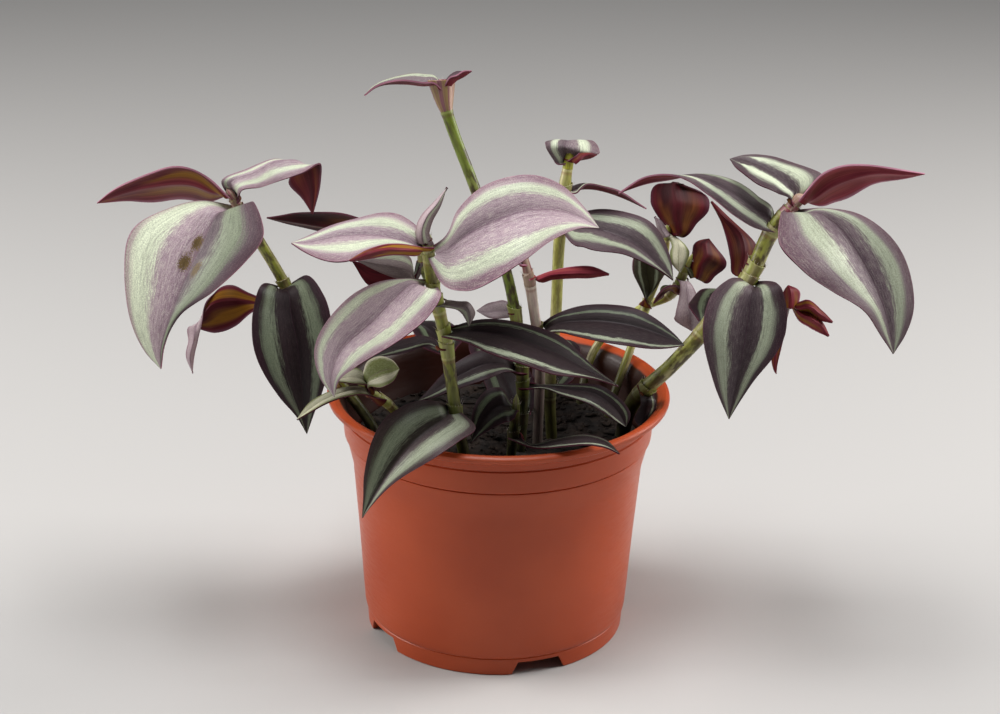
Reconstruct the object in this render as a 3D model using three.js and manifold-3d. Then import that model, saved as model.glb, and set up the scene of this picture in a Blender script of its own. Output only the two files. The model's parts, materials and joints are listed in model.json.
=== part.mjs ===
// A tradescantia in a 12 cm plastic nursery pot: striped leaves on arching stems that
// root in a plug of potting soil.
// Millimetres. The origin is on the pot's axis, in the plane it stands on. X runs to the
// right, Y to the back and +Z up.
import * as THREE from "three";
import { mergeVertices } from "three/addons/utils/BufferGeometryUtils.js";
import Module from "manifold-3d";

const wasm = await Module();
wasm.setup();

// Pot: a thin moulded wall that follows one outer line, with a rolled lip.
const RIM_RADIUS = 60;
const POT_HEIGHT = 89;
const WALL = 1.3;
const COLLAR_TOP_RADIUS = 56.3;
const COLLAR_STEP_Z = 73; // where the collar's upright band ends
const BODY_TOP_RADIUS = 50.3;
const BODY_TOP_Z = 63.5;
const BODY_FOOT_RADIUS = 46.3;
const FOOT_RADIUS = 45.2;
const FOOT_HEIGHT = 6.6;
const FLOOR_Z = 5.6; // underside of the floor inside the foot ring
const POT_SIDES = 40;
const NOTCH_ANGLES = [-20, 60, 150, -110]; // degrees round from the front, to the left
const NOTCH_HALF = 13.5; // half of a notch at the ground, in degrees
const NOTCH_HALF_TOP = 9.5;
const NOTCH_HEIGHT = 5;
const DRAIN_HOLES = 6;
const DRAIN_RADIUS = 3.5;
const DRAIN_CIRCLE = 31;

// Soil: one plug that fills the pot to a little below its collar's step.
const SOIL_TOP = 70;
const GAP = 0.3; // between neighbouring pieces

// Plant.
const STEM_SIDES = 6;
const SEGMENT = 5.4; // length of one stem segment, and so of one leaf sheath
const SHEATH_GAP = 0.36; // at the corners, so that the flats keep GAP
const SHEATH_WALL = 0.85;
const BLADE = 0.7; // leaf thickness
const NECK = 2; // half the width of a leaf where it leaves its sheath, at most
const TURN = 0.25; // share of its length in which a broad leaf turns from the stem to its own face
const SMALL_TURN = 0.4;
const LOBE = 0.25; // how far a broad leaf's base reaches back round the stem, in half widths

// Half width of a leaf from its base to its tip, as a share of its widest half.
const BROAD = [[0, 0.2], [0.06, 0.7], [0.17, 0.94], [0.34, 1], [0.58, 0.85], [0.8, 0.46], [1, 0]];
const SMALL = [[0, 0.3], [0.14, 0.78], [0.38, 1], [0.68, 0.7], [1, 0]];
const BROAD_COLUMNS = [-1, -0.5, 0, 0.5, 1];
const SMALL_COLUMNS = [-1, 0, 1];

const MATERIALS = {
  pot: { color: 0xc8603c, roughness: 0.45 },
  soil: { color: 0x2a1d17, roughness: 0.95 },
  stem: { color: 0x8f9c4a, roughness: 0.5 },
  stem_pink: { color: 0xcaa0a4, roughness: 0.5 },
  leaf_striped: { color: 0x9fae98, roughness: 0.35 },
  leaf_dark: { color: 0x3f4740, roughness: 0.35 },
  leaf_red: { color: 0x7a3038, roughness: 0.4 },
};

const plant = new THREE.Group();

const v = (p) => new THREE.Vector3(...p);

// A closed geometry from points and the triangles that join them.
function geometryOf(points, triangles) {
  const geometry = new THREE.BufferGeometry().setFromPoints(points);
  geometry.setIndex(triangles.flat());
  return geometry;
}

function solidOf(geometry) {
  const bare = geometry.clone();
  bare.deleteAttribute("normal");
  bare.deleteAttribute("uv");
  const merged = mergeVertices(bare, 1e-4);
  const triVerts = new Uint32Array(merged.index.array);
  const make = () =>
    new wasm.Manifold(
      new wasm.Mesh({ numProp: 3, vertProperties: merged.attributes.position.array, triVerts }),
    );
  const solid = make();
  if (solid.volume() > 0) return solid;
  for (let i = 0; i < triVerts.length; i += 3)
    [triVerts[i], triVerts[i + 1]] = [triVerts[i + 1], triVerts[i]];
  return make();
}

function addPiece(name, slot, solid) {
  const { vertProperties, triVerts } = solid.getMesh();
  const geometry = new THREE.BufferGeometry();
  geometry.setAttribute("position", new THREE.BufferAttribute(vertProperties, 3));
  geometry.setIndex(new THREE.BufferAttribute(triVerts, 1));
  geometry.computeVertexNormals();
  const mesh = new THREE.Mesh(geometry, new THREE.MeshStandardMaterial(MATERIALS[slot]));
  mesh.name = name;
  plant.add(mesh);
}

// Lathe profiles are [radius, height] and turn about the upright axis.
function turned(profile, sides) {
  const outline = profile.map(([r, z]) => new THREE.Vector2(r, z));
  return new THREE.LatheGeometry(outline, sides).rotateX(Math.PI / 2);
}

// Rings of equally many points joined into one closed body, with flat ends.
function loft(rings) {
  const sides = rings[0].length;
  const triangles = [];
  for (let i = 0; i + 1 < rings.length; i++)
    for (let j = 0; j < sides; j++) {
      const a = i * sides + j;
      const b = i * sides + ((j + 1) % sides);
      triangles.push([a, b, b + sides], [a, b + sides, a + sides]);
    }
  const last = (rings.length - 1) * sides;
  for (let j = 1; j + 1 < sides; j++) {
    triangles.push([0, j + 1, j], [last, last + j, last + j + 1]);
  }
  return geometryOf(rings.flat(), triangles);
}

// The pot's outer line from the ground up to the lip.
const OUTER_LINE = [
  [FOOT_RADIUS, 0],
  [FOOT_RADIUS + 0.4, FOOT_HEIGHT - 0.6],
  [BODY_FOOT_RADIUS - 0.1, FOOT_HEIGHT + 0.4],
  [BODY_FOOT_RADIUS, FOOT_HEIGHT + 2],
  [BODY_TOP_RADIUS, BODY_TOP_Z],
  [BODY_TOP_RADIUS + 3.4, COLLAR_STEP_Z - 1.4],
  [BODY_TOP_RADIUS + 4.3, COLLAR_STEP_Z],
  [COLLAR_TOP_RADIUS, POT_HEIGHT - 4.5],
  [RIM_RADIUS - 0.5, POT_HEIGHT - 2.8],
  [RIM_RADIUS, POT_HEIGHT - 1.6],
];

// Inner radius of the wall at a height above the floor.
function innerRadius(z) {
  for (let i = 1; i < OUTER_LINE.length; i++) {
    const [r0, z0] = OUTER_LINE[i - 1];
    const [r1, z1] = OUTER_LINE[i];
    if (z <= z1) return r0 + ((r1 - r0) * (z - z0)) / (z1 - z0) - WALL;
  }
  return RIM_RADIUS - WALL;
}

function potSolid() {
  const floorTop = FLOOR_Z + WALL;
  const profile = [
    [0, FLOOR_Z],
    [FOOT_RADIUS - WALL - 0.4, FLOOR_Z],
    [FOOT_RADIUS - WALL - 0.6, 0],
    ...OUTER_LINE,
    [RIM_RADIUS - 0.7, POT_HEIGHT],
    [RIM_RADIUS - 2.4, POT_HEIGHT],
    [COLLAR_TOP_RADIUS - WALL, POT_HEIGHT - 3.6],
    [innerRadius(COLLAR_STEP_Z), COLLAR_STEP_Z],
    [innerRadius(BODY_TOP_Z), BODY_TOP_Z],
    [innerRadius(floorTop + 1.5), floorTop + 1.5],
    [innerRadius(floorTop) - 1.5, floorTop],
    [0, floorTop],
  ];
  let pot = solidOf(turned(profile, POT_SIDES));
  for (const degrees of NOTCH_ANGLES) {
    const centre = (degrees * Math.PI) / 180;
    const ring = (z, half) =>
      [[-half, 40], [half, 40], [half, 50], [-half, 50]].map(([side, radius]) => {
        const angle = centre + (side * Math.PI) / 180;
        return new THREE.Vector3(-radius * Math.sin(angle), -radius * Math.cos(angle), z);
      });
    const low = ring(-1, NOTCH_HALF + 0.8);
    const high = ring(NOTCH_HEIGHT, NOTCH_HALF_TOP);
    const cutter = solidOf(loft([high, low]));
    pot = pot.subtract(cutter);
  }
  for (let i = 0; i < DRAIN_HOLES; i++) {
    const angle = ((i + 0.5) * 2 * Math.PI) / DRAIN_HOLES;
    const drill = new THREE.CylinderGeometry(DRAIN_RADIUS, DRAIN_RADIUS, 12, 12)
      .rotateX(Math.PI / 2)
      .translate(DRAIN_CIRCLE * Math.cos(angle), DRAIN_CIRCLE * Math.sin(angle), FLOOR_Z);
    pot = pot.subtract(solidOf(drill));
  }
  return pot;
}

// Stems: [name, radius, slot, points from 12 mm down in the soil to the tip].
const STEMS = {
  a: [2, "stem", [[-42, 0, 58], [-43, 0, 70], [-62, -3, 101], [-75, -6, 131], [-81, -8, 143], [-91, -12, 163]]],
  b: [2.1, "stem", [[-8, -40, 58], [-9, -41, 70], [-14, -44, 98], [-18, -42, 125], [-22, -43, 143], [-24, -45, 160]]],
  c: [2, "stem", [[8, -10, 58], [8, -10, 70], [8, -10, 100], [2, -8, 135], [-9, -4, 163], [-19, 0, 189], [-21, 2, 199]]],
  d: [1.9, "stem_pink", [[14, -5, 58], [14, -5, 70], [14, -6, 106], [12, -8, 119], [10, -10, 132], [8, -11, 141]]],
  e: [2.1, "stem", [[19, 2, 58], [19, 2, 70], [18, 1, 88], [19.5, 4, 115], [20, 6, 140], [21.5, 8, 161], [23, 9, 172]]],
  f: [2.8, "stem", [[43, 3, 58], [44, 2, 70], [47, -8, 88], [59, -14, 104], [68, -14, 115], [84, -12, 136], [91, -10, 152], [100, -10, 164]]],
  g: [1.6, "stem", [[40, 22, 58], [40, 22, 70], [47, 28, 92], [53, 37, 107], [58, 39, 121], [60, 40, 136]]],
  j: [1.6, "stem", [[30, 34, 58], [30, 34, 70], [36, 40, 90], [52, 42, 104], [62, 40, 110], [68, 38, 124]]],
  k: [1.7, "stem", [[-15, 2, 58], [-15, 2, 70], [-15, 0, 85], [-18, -3, 104], [-21, -6, 122], [-26, -8, 136], [-27, -8, 146]]],
  l: [1.6, "stem", [[-27, -27, 58], [-27, -27, 70], [-31, -32, 86], [-36, -37, 97], [-44, -42, 105]]],
  h: [1.7, "stem", [[4, -31, 58], [4, -31, 70], [5, -36, 84], [6, -39, 100]]],
};

function ringAt(stem, place, radius) {
  const i = Math.min(Math.floor(place), stem.count - 1);
  const share = place - i;
  const ring = [];
  for (let j = 0; j < STEM_SIDES; j++) {
    const angle = (j * 2 * Math.PI) / STEM_SIDES;
    const corner = (k) =>
      stem.points[k]
        .clone()
        .addScaledVector(stem.frames.normals[k], radius * Math.cos(angle))
        .addScaledVector(stem.frames.binormals[k], radius * Math.sin(angle));
    ring.push(corner(i).lerp(corner(i + 1), share));
  }
  return ring;
}

function stemAlong(radius, points) {
  const curve = new THREE.CatmullRomCurve3(points.map(v), false, "centripetal");
  const count = Math.round(curve.getLength() / SEGMENT);
  return {
    radius,
    count,
    points: curve.getSpacedPoints(count),
    frames: curve.computeFrenetFrames(count, false),
  };
}

function stemSolid(stem, radius = stem.radius, end = stem.count) {
  const rings = [];
  for (let i = 0; i <= end; i++) rings.push(ringAt(stem, i, radius));
  return solidOf(loft(rings));
}

// A leaf's closed sheath: a ring round one segment of the stem.
function sheathSolid(stem, from, to) {
  const inner = stem.radius + SHEATH_GAP;
  const outer = inner + SHEATH_WALL;
  const [low, high] = [from + 0.03, to - 0.03];
  const rings = [
    ringAt(stem, low, inner),
    ringAt(stem, low, outer),
    ringAt(stem, high, outer),
    ringAt(stem, high, inner),
  ];
  const triangles = [];
  for (let i = 0; i < 4; i++)
    for (let j = 0; j < STEM_SIDES; j++) {
      const next = (j + 1) % STEM_SIDES;
      const [a, b] = [i * STEM_SIDES + j, i * STEM_SIDES + next];
      const [c, d] = [((i + 1) % 4) * STEM_SIDES + next, ((i + 1) % 4) * STEM_SIDES + j];
      triangles.push([a, b, c], [a, c, d]);
    }
  return solidOf(geometryOf(rings.flat(), triangles));
}

// A leaf blade along the curve base, middle, tip. Where it leaves the sheath, its upper side
// looks up the stem's axis, away from out, and it soon turns to face. fold lifts both halves
// into a V and twist turns the outer end about the midrib, both in degrees.
function bladeSolid(base, axis, out, middle, tip, face, width, { fold = 12, twist = 0 }) {
  const control = middle.clone().multiplyScalar(2).addScaledVector(base, -0.5).addScaledVector(tip, -0.5);
  const midrib = new THREE.QuadraticBezierCurve3(base, control, tip);
  const broad = width > 13;
  const [stations, columns] = broad ? [BROAD, BROAD_COLUMNS] : [SMALL, SMALL_COLUMNS];
  const turn = broad ? TURN : SMALL_TURN;
  const start = midrib.getTangent(0);
  const rootFace = axis.clone().multiplyScalar(start.dot(out)).addScaledVector(out, -start.dot(axis));
  const upper = [];
  const lower = [];
  for (const [t, share] of stations) {
    const along = midrib.getTangent(t);
    const turned = THREE.MathUtils.smoothstep(t, 0, turn);
    const lift = (turned * fold * Math.PI) / 180;
    const up = rootFace.clone().lerp(v(face).normalize(), turned);
    up.applyAxisAngle(along, (t ** 3 * twist * Math.PI) / 180);
    up.addScaledVector(along, -up.dot(along)).normalize();
    const side = along.clone().cross(up);
    const half = Math.max((share * width) / 2, 0.4);
    const wide = t === 0 ? Math.min(half, NECK) : half;
    for (const column of columns) {
      const out = Math.sign(column);
      const back = broad && t > 0 && t < turn ? LOBE * half * column ** 2 * (1 - t / turn) : 0;
      const point = midrib
        .getPoint(t)
        .addScaledVector(along, -back)
        .addScaledVector(side, column * wide * Math.cos(lift))
        .addScaledVector(up, Math.abs(column) * wide * Math.sin(lift));
      const inward = up.clone().multiplyScalar(out ? Math.cos(lift) : 1 / Math.cos(lift));
      inward.addScaledVector(side, -out * Math.sin(lift));
      upper.push(point);
      lower.push(point.clone().addScaledVector(inward, -BLADE));
    }
  }
  return solidOf(sheetGeometry(upper, lower, columns.length));
}

// Two like grids of points, joined round their edge.
function sheetGeometry(upper, lower, width) {
  const rows = upper.length / width;
  const offset = upper.length;
  const triangles = [];
  for (let i = 0; i + 1 < rows; i++)
    for (let j = 0; j + 1 < width; j++) {
      const [a, b] = [i * width + j, i * width + j + 1];
      const [c, d] = [a + width, b + width];
      for (const [x, y, z] of j < (width - 1) / 2 ? [[a, b, d], [a, d, c]] : [[a, b, c], [b, d, c]]) {
        triangles.push([x, y, z], [offset + x, offset + z, offset + y]);
      }
    }
  const edge = [];
  for (let j = 0; j < width - 1; j++) edge.push(j);
  for (let i = 0; i < rows - 1; i++) edge.push(i * width + width - 1);
  for (let j = width - 1; j > 0; j--) edge.push((rows - 1) * width + j);
  for (let i = rows - 1; i > 0; i--) edge.push(i * width);
  edge.forEach((a, i) => {
    const b = edge[(i + 1) % edge.length];
    triangles.push([b, a, offset + a], [b, offset + a, offset + b]);
  });
  return geometryOf([...upper, ...lower], triangles);
}

const UP = [0, -0.35, 0.95]; // lies level and shows its upper side
const FRONT = [0, -0.85, 0.5]; // hangs and looks to the front
const TILTED = [0, -0.6, 0.8];
const AWAY = [0, 0.7, 0.7]; // shows its underside to the front
const BACK = [0, 0.4, 0.9]; // lies level and leans to the back

// Leaves: [name, slot, stem, sheath, blades]. sheath gives where the leaf's sheath starts
// and ends, in segments from the stem's foot, or back from its tip if negative. A blade is
// [middle, tip, face, width, shape].
const LEAVES = [
  ["leaf_a_left", "leaf_red", "a", [-0.5, 0], [[[-115, -4, 163.5], [-140, 8, 153], AWAY, 21, {}]]],
  ["leaf_a_right", "leaf_striped", "a", [-1, -0.5], [[[-66, -4, 169], [-65, -6, 152], [0, -0.1, 1], 19, { twist: -110 }]]],
  ["leaf_a_hanging", "leaf_striped", "a", [-1.5, -1], [[[-104, -28, 146.5], [-113, -30, 107], [-0.35, -0.75, 0.55], 45, {}]]],
  ["leaf_a_curled", "leaf_red", "a", [12, 13], [[[-97, -4, 126], [-105, -8, 99], AWAY, 12, { twist: 60 }]]],
  ["leaf_a_lower", "leaf_dark", "a", [14, 15], [[[-70, -24, 113], [-65, -22, 80], FRONT, 26, {}]]],
  ["leaf_b_left", "leaf_striped", "b", [-1, -0.5], [[[-46, -52, 160.8], [-67, -56, 161], UP, 24, {}]]],
  ["leaf_b_young", "leaf_red", "b", [-0.5, 0], [[[-24, -46, 168], [-17, -46, 178], [-0.6, -0.7, 0.2], 6, { fold: 30 }]]],
  ["leaf_b_right", "leaf_striped", "b", [-1.5, -1], [[[6, -42, 164.5], [32, -32, 159], [0, -0.7, 0.7], 37, {}]]],
  ["leaf_b_front", "leaf_striped", "b", [15.5, 16], [[[-44, -57, 132.5], [-53, -62, 111], [-0.2, -0.7, 0.7], 28, {}]]],
  ["leaf_b_rim", "leaf_dark", "b", [7, 8], [[[-32, -62, 94], [-44, -58, 65], [-0.1, -0.75, 0.65], 27, {}]]],
  ["leaf_b_low_right", "leaf_dark", "b", [12, 13], [[[7, -46, 123.5], [40, -40, 107], [0, -0.3, 0.95], 18, {}]]],
  ["leaf_b_low_left", "leaf_dark", "b", [11, 12], [[[-31, -40, 120], [-43, -36, 114], TILTED, 14, {}]]],
  ["leaf_b_bud", "leaf_red", "b", [14, 15], [[[-12, -46, 136], [-10, -48, 131], [0.3, -0.5, 0.8], 10, {}]]],
  ["leaf_c_tip", "leaf_red", "c", [-1, 0], [
    [[-34, 0, 200], [-46, -2, 195], [0, 0.2, 1], 8, {}],
    [[-16, 2, 201], [-11, 4, 203], [0, 0.1, 1], 7, {}],
  ]],
  ["leaf_c_left", "leaf_dark", "c", [7, 8], [[[-11, -20, 106], [-27, -26, 96], TILTED, 17, {}]]],
  ["leaf_c_right", "leaf_dark", "c", [6, 7], [[[30, -22, 97], [44, -28, 87], TILTED, 16, {}]]],
  ["leaf_c_pale", "leaf_striped", "c", [11, 12], [[[-3, -4, 121], [-10, -2, 119], UP, 11, {}]]],
  ["leaf_c_back", "leaf_dark", "c", [4, 5], [[[-2, 20, 93], [-6, 45, 88], BACK, 20, {}]]],
  ["leaf_d_right", "leaf_red", "d", [-2, -1], [[[24, -8, 135], [37, -4, 134], AWAY, 8, {}]]],
  ["leaf_d_tip", "leaf_red", "d", [-1, 0], [[[4, -12, 144], [1, -12, 147], [-0.6, -0.6, 0.4], 6, {}]]],
  ["leaf_d_lower", "leaf_dark", "d", [10, 11], [[[38, -16, 119], [63, -22, 114], [0.05, -0.5, 0.85], 19, {}]]],
  ["leaf_e_cup", "leaf_striped", "e", [-1, 0], [
    [[16, 8, 174], [13, 8, 178], [0.6, -0.4, 0.8], 11, {}],
    [[30, 8, 173], [34, 8, 175], [-0.5, -0.4, 0.8], 11, {}],
  ]],
  ["leaf_e_narrow", "leaf_red", "e", [-3, -2], [[[34, 10, 159], [50, 12, 152], [0, 0.3, 0.95], 15, {}]]],
  ["leaf_e_right", "leaf_dark", "e", [16, 17], [[[42, 0, 146], [59, -6, 133], [0.1, -0.5, 0.85], 20, {}]]],
  ["leaf_e_back", "leaf_dark", "e", [5, 6], [[[21, 24, 94], [19, 47, 88], BACK, 17, {}]]],
  ["leaf_f_up", "leaf_striped", "f", [-1, -0.5], [[[89, -6, 170.5], [76, 0, 175], [0, -0.4, 0.9], 21, {}]]],
  ["leaf_f_right", "leaf_red", "f", [-0.5, 0], [[[119, -10, 170.5], [140, -14, 175], AWAY, 17, {}]]],
  ["leaf_f_hanging", "leaf_striped", "f", [-1.5, -1], [[[120, -28, 144], [131, -32, 117], [0.3, -0.75, 0.55], 38, {}]]],
  ["leaf_f_left", "leaf_striped", "f", [21, 21.5], [[[66, -7, 165], [39, -8, 165], UP, 17, { twist: 60 }]]],
  ["leaf_f_front", "leaf_striped", "f", [17, 18], [[[81, -28, 118], [79, -26, 89], [0, -0.9, 0.4], 31, {}]]],
  ["leaf_f_behind", "leaf_red", "f", [18, 19], [[[80, 5, 143], [71, 10, 157], AWAY, 13, {}]]],
  ["leaf_f_inner", "leaf_dark", "f", [7, 8], [[[48, -16, 88], [46, -19, 81], FRONT, 8, {}]]],
  ["leaf_f_back", "leaf_dark", "f", [13, 14], [[[80, 14, 120], [88, 40, 106], BACK, 20, {}]]],
  ["leaf_g_cup", "leaf_red", "g", [-1, 0], [
    [[63, 38, 143], [61, 36, 154], [0.1, 0.9, 0.3], 19, {}],
    [[64, 34, 130], [64, 32, 120], FRONT, 8, {}],
  ]],
  ["leaf_g_left", "leaf_dark", "g", [9.5, 10.5], [[[52, 33, 120], [50, 36, 128], TILTED, 11, {}]]],
  ["leaf_j_right", "leaf_red", "j", [-1, 0], [[[77, 35, 128], [80, 35, 133], [0.3, 0.8, 0.4], 14, {}]]],
  ["leaf_j_hanging", "leaf_striped", "j", [-2, -1], [[[70, 31, 111], [69, 29, 100], FRONT, 11, {}]]],
  ["leaf_j_orange", "leaf_red", "j", [12, 13], [[[60, 33, 114], [55, 31, 110], AWAY, 8, {}]]],
  ["leaf_k_left", "leaf_red", "k", [-1, 0], [[[-57, 8, 144], [-81, 10, 147], AWAY, 20, {}]]],
  ["leaf_k_front", "leaf_striped", "k", [-2, -1], [[[-39, -15, 138], [-50, -17, 133], UP, 18, {}]]],
  ["leaf_k_back", "leaf_dark", "k", [8, 9], [[[-30, 32, 112], [-44, 70, 88], BACK, 26, {}]]],
  ["leaf_l_curled", "leaf_striped", "l", [-1, 0], [
    [[-38, -48, 113], [-33, -50, 114], [0, -0.7, 0.7], 13, {}],
    [[-50, -46, 112], [-53, -46, 114], [0, -0.7, 0.7], 8, {}],
  ]],
  ["leaf_l_left", "leaf_red", "l", [8, 9], [[[-55, -51, 104], [-67, -52, 97], UP, 10, {}]]],
  ["leaf_h_dark", "leaf_dark", "h", [-1, 0], [[[-2, -42, 98], [-9, -46, 88], TILTED, 14, {}]]],
  ["leaf_h_rim", "leaf_dark", "h", [-3, -2], [[[24, -54, 92], [40, -58, 91], [0, 0.2, 1], 14, {}]]],
];

const stems = {};
for (const [key, [radius, , points]] of Object.entries(STEMS)) stems[key] = stemAlong(radius, points);

// The side shoot low on the thick right stem is one growth with it.
const SIDE_SHOOT = [[75, -13, 124], [84, -8, 121], [94, -8, 122], [99, -10, 129]];
stems.shoot = stemAlong(1.5, SIDE_SHOOT);
LEAVES.push(["leaf_shoot_young", "leaf_red", "shoot", [-1, 0], [
  [[107, -13, 125], [113, -14, 122], UP, 8, {}],
  [[106, -14, 118], [112, -15, 114], UP, 7, {}],
  [[96, -15, 112], [96, -15, 103], FRONT, 6, {}],
]]);

for (const [key, [, slot]] of Object.entries(STEMS)) {
  let solid = stemSolid(stems[key]);
  if (key === "f") solid = solid.add(stemSolid(stems.shoot));
  addPiece("stem_" + key, slot, solid);
}

for (const [name, slot, key, [start, end], blades] of LEAVES) {
  const stem = stems[key];
  const from = start < 0 ? stem.count + start : start;
  const length = end - start;
  let solid = sheathSolid(stem, from, from + length);
  const centre = ringAt(stem, from + length * 0.6, 0)[0];
  const axis = ringAt(stem, from + length * 0.9, 0)[0].sub(centre).normalize();
  for (const [middle, tip, face, width, shape] of blades) {
    const out = v(middle).sub(centre);
    out.addScaledVector(axis, -out.dot(axis)).normalize();
    const base = centre.clone().addScaledVector(out, stem.radius + SHEATH_GAP + 0.2);
    solid = solid.add(bladeSolid(base, axis, out, v(middle), v(tip), face, width, shape));
  }
  addPiece(name, slot, solid);
}

// The soil has a plain hole round each stem's foot.
function soilSolid() {
  const clear = (z) => innerRadius(z) - GAP;
  const floor = FLOOR_Z + WALL + GAP;
  const profile = [
    [0, floor],
    [clear(floor) - 2.2, floor],
    [clear(floor + 2), floor + 2],
    [clear(BODY_TOP_Z), BODY_TOP_Z],
    [clear(SOIL_TOP - 1), SOIL_TOP - 1],
    [44, SOIL_TOP - 0.4],
    [30, SOIL_TOP + 0.6],
    [14, SOIL_TOP - 0.3],
    [0, SOIL_TOP + 0.5],
  ];
  let soil = solidOf(turned(profile, 24));
  for (const key of Object.keys(STEMS)) {
    const stem = stems[key];
    const hole = { ...stem, points: stem.points.map((p) => p.clone()) };
    hole.points[0].z -= GAP;
    soil = soil.subtract(stemSolid(hole, stem.radius + SHEATH_GAP, 4));
  }
  return soil;
}

addPiece("pot", "pot", potSolid());
addPiece("soil", "soil", soilSolid());

export default plant;
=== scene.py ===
# %% [markdown]
# A tradescantia in a 12 cm nursery pot.
# The CAD model gives every leaf, stem, the soil and the pot a plain solid at its real place.
# This script puts a finer piece on each of them and gives each its finish. All lengths that
# describe the plant are written in millimetres and turned into metres by MM.

# %% The fixed frame
import json
import math

import bpy
import numpy as np
from mathutils import Matrix, Vector


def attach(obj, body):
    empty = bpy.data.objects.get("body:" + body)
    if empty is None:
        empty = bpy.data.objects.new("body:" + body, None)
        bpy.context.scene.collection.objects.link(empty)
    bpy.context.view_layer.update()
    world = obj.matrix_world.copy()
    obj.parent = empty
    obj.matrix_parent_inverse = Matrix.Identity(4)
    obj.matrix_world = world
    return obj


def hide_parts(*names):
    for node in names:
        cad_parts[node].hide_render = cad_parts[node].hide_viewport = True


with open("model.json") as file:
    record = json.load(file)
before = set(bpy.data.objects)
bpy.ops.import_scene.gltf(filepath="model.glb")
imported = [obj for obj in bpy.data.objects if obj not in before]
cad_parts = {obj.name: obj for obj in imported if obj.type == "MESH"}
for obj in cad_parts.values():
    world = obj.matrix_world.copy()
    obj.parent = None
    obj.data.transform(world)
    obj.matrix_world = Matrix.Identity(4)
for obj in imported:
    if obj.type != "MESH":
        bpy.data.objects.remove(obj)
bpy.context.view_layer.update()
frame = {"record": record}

MM = 0.001
slot_of = {part["node"]: part["material_slot"] for part in frame["record"]["subparts"]}

# %% [markdown]
# Blender's operators work on what is selected, and the CAD solids arrive selected. So each new
# piece starts with nothing selected. One helper does that, and one puts a finished mesh on its
# CAD body and hides the CAD solids that it stands for.

# %% Selecting and placing
def start_clean():
    if bpy.context.object and bpy.context.object.mode != "OBJECT":
        bpy.ops.object.mode_set(mode="OBJECT")
    bpy.ops.object.select_all(action="DESELECT")


def select(*pieces):
    start_clean()
    for piece in pieces:
        piece.select_set(True)
    bpy.context.view_layer.objects.active = pieces[0]


def settle(piece, slot, *nodes):
    piece.data.name = piece.name
    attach(piece, "root")
    if nodes:
        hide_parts(*nodes)
    return piece


def shade(piece, degrees):
    """Smooth, but with every edge sharp that bends by more than so many degrees."""
    select(piece)
    bpy.ops.object.shade_smooth_by_angle(angle=math.radians(degrees))


# %% [markdown]
# Most finishes here are mixes of bands and noise, so a small set of helpers keeps the node trees
# short. Each call adds a node, or a few that belong together, and returns the socket that the next
# call reads. What a helper is given may be a number, a colour or such a socket.

# %% Helpers for node trees
MIX_FACTOR, MIX_FIRST, MIX_SECOND, MIX_RESULT = 0, 6, 7, 2  # the sockets of a Mix node for colours


class Tree:
    def __init__(self, nodes, links):
        self.nodes, self.links = nodes, links

    def put(self, socket, value):
        if isinstance(value, bpy.types.NodeSocket):
            self.links.new(value, socket)
        elif isinstance(value, tuple) and len(value) == 3 and socket.type == "RGBA":
            socket.default_value = (*value, 1.0)
        else:
            socket.default_value = value

    def fill(self, node, **values):
        """Sets or links a node's sockets by their names, with _ for a space."""
        for name, value in values.items():
            self.put(node.inputs[name.replace("_", " ")], value)
        return node

    def add(self, kind, **settings):
        node = self.nodes.new("ShaderNode" + kind)
        for name, value in settings.items():
            setattr(node, name, value)
        return node

    def math(self, operation, a, b=0.0, clamp=False):
        node = self.add("Math", operation=operation, use_clamp=clamp)
        self.put(node.inputs[0], a)
        self.put(node.inputs[1], b)
        return node.outputs[0]

    def plus(self, a, b, clamp=False):
        return self.math("ADD", a, b, clamp)

    def minus(self, a, b):
        return self.math("SUBTRACT", a, b)

    def times(self, a, b, clamp=False):
        return self.math("MULTIPLY", a, b, clamp)

    def sway(self, noise, width):
        """A noise, which lies round a half, as a swing of that width round nothing."""
        return self.times(self.minus(noise, 0.5), width)

    def between(self, value, low, high, to_low=0.0, to_high=1.0):
        """Goes smoothly from to_low to to_high while the value goes from low to high."""
        node = self.add("MapRange", interpolation_type="SMOOTHSTEP")
        for i, x in enumerate((value, low, high, to_low, to_high)):
            self.put(node.inputs[i], x)
        return node.outputs[0]

    def mix(self, share, a, b, blend="MIX"):
        node = self.add("Mix", data_type="RGBA", blend_type=blend)
        self.put(node.inputs[MIX_FACTOR], share)
        self.put(node.inputs[MIX_FIRST], a)
        self.put(node.inputs[MIX_SECOND], b)
        return node.outputs[MIX_RESULT]

    def brightened(self, colour, factor):
        """The colour times a factor that changes over the surface."""
        grey = self.add("CombineXYZ")
        for socket in grey.inputs:
            self.put(socket, factor)
        return self.mix(1.0, colour, grey.outputs[0], "MULTIPLY")


# %% [markdown]
# A pattern starts from a place on the surface. On the plant that is the piece's own UV map, which
# is named leaf on every piece, and on the pot and the soil it is the place in the object. Numbers
# that differ from leaf to leaf are kept on the mesh as attributes.

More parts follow.
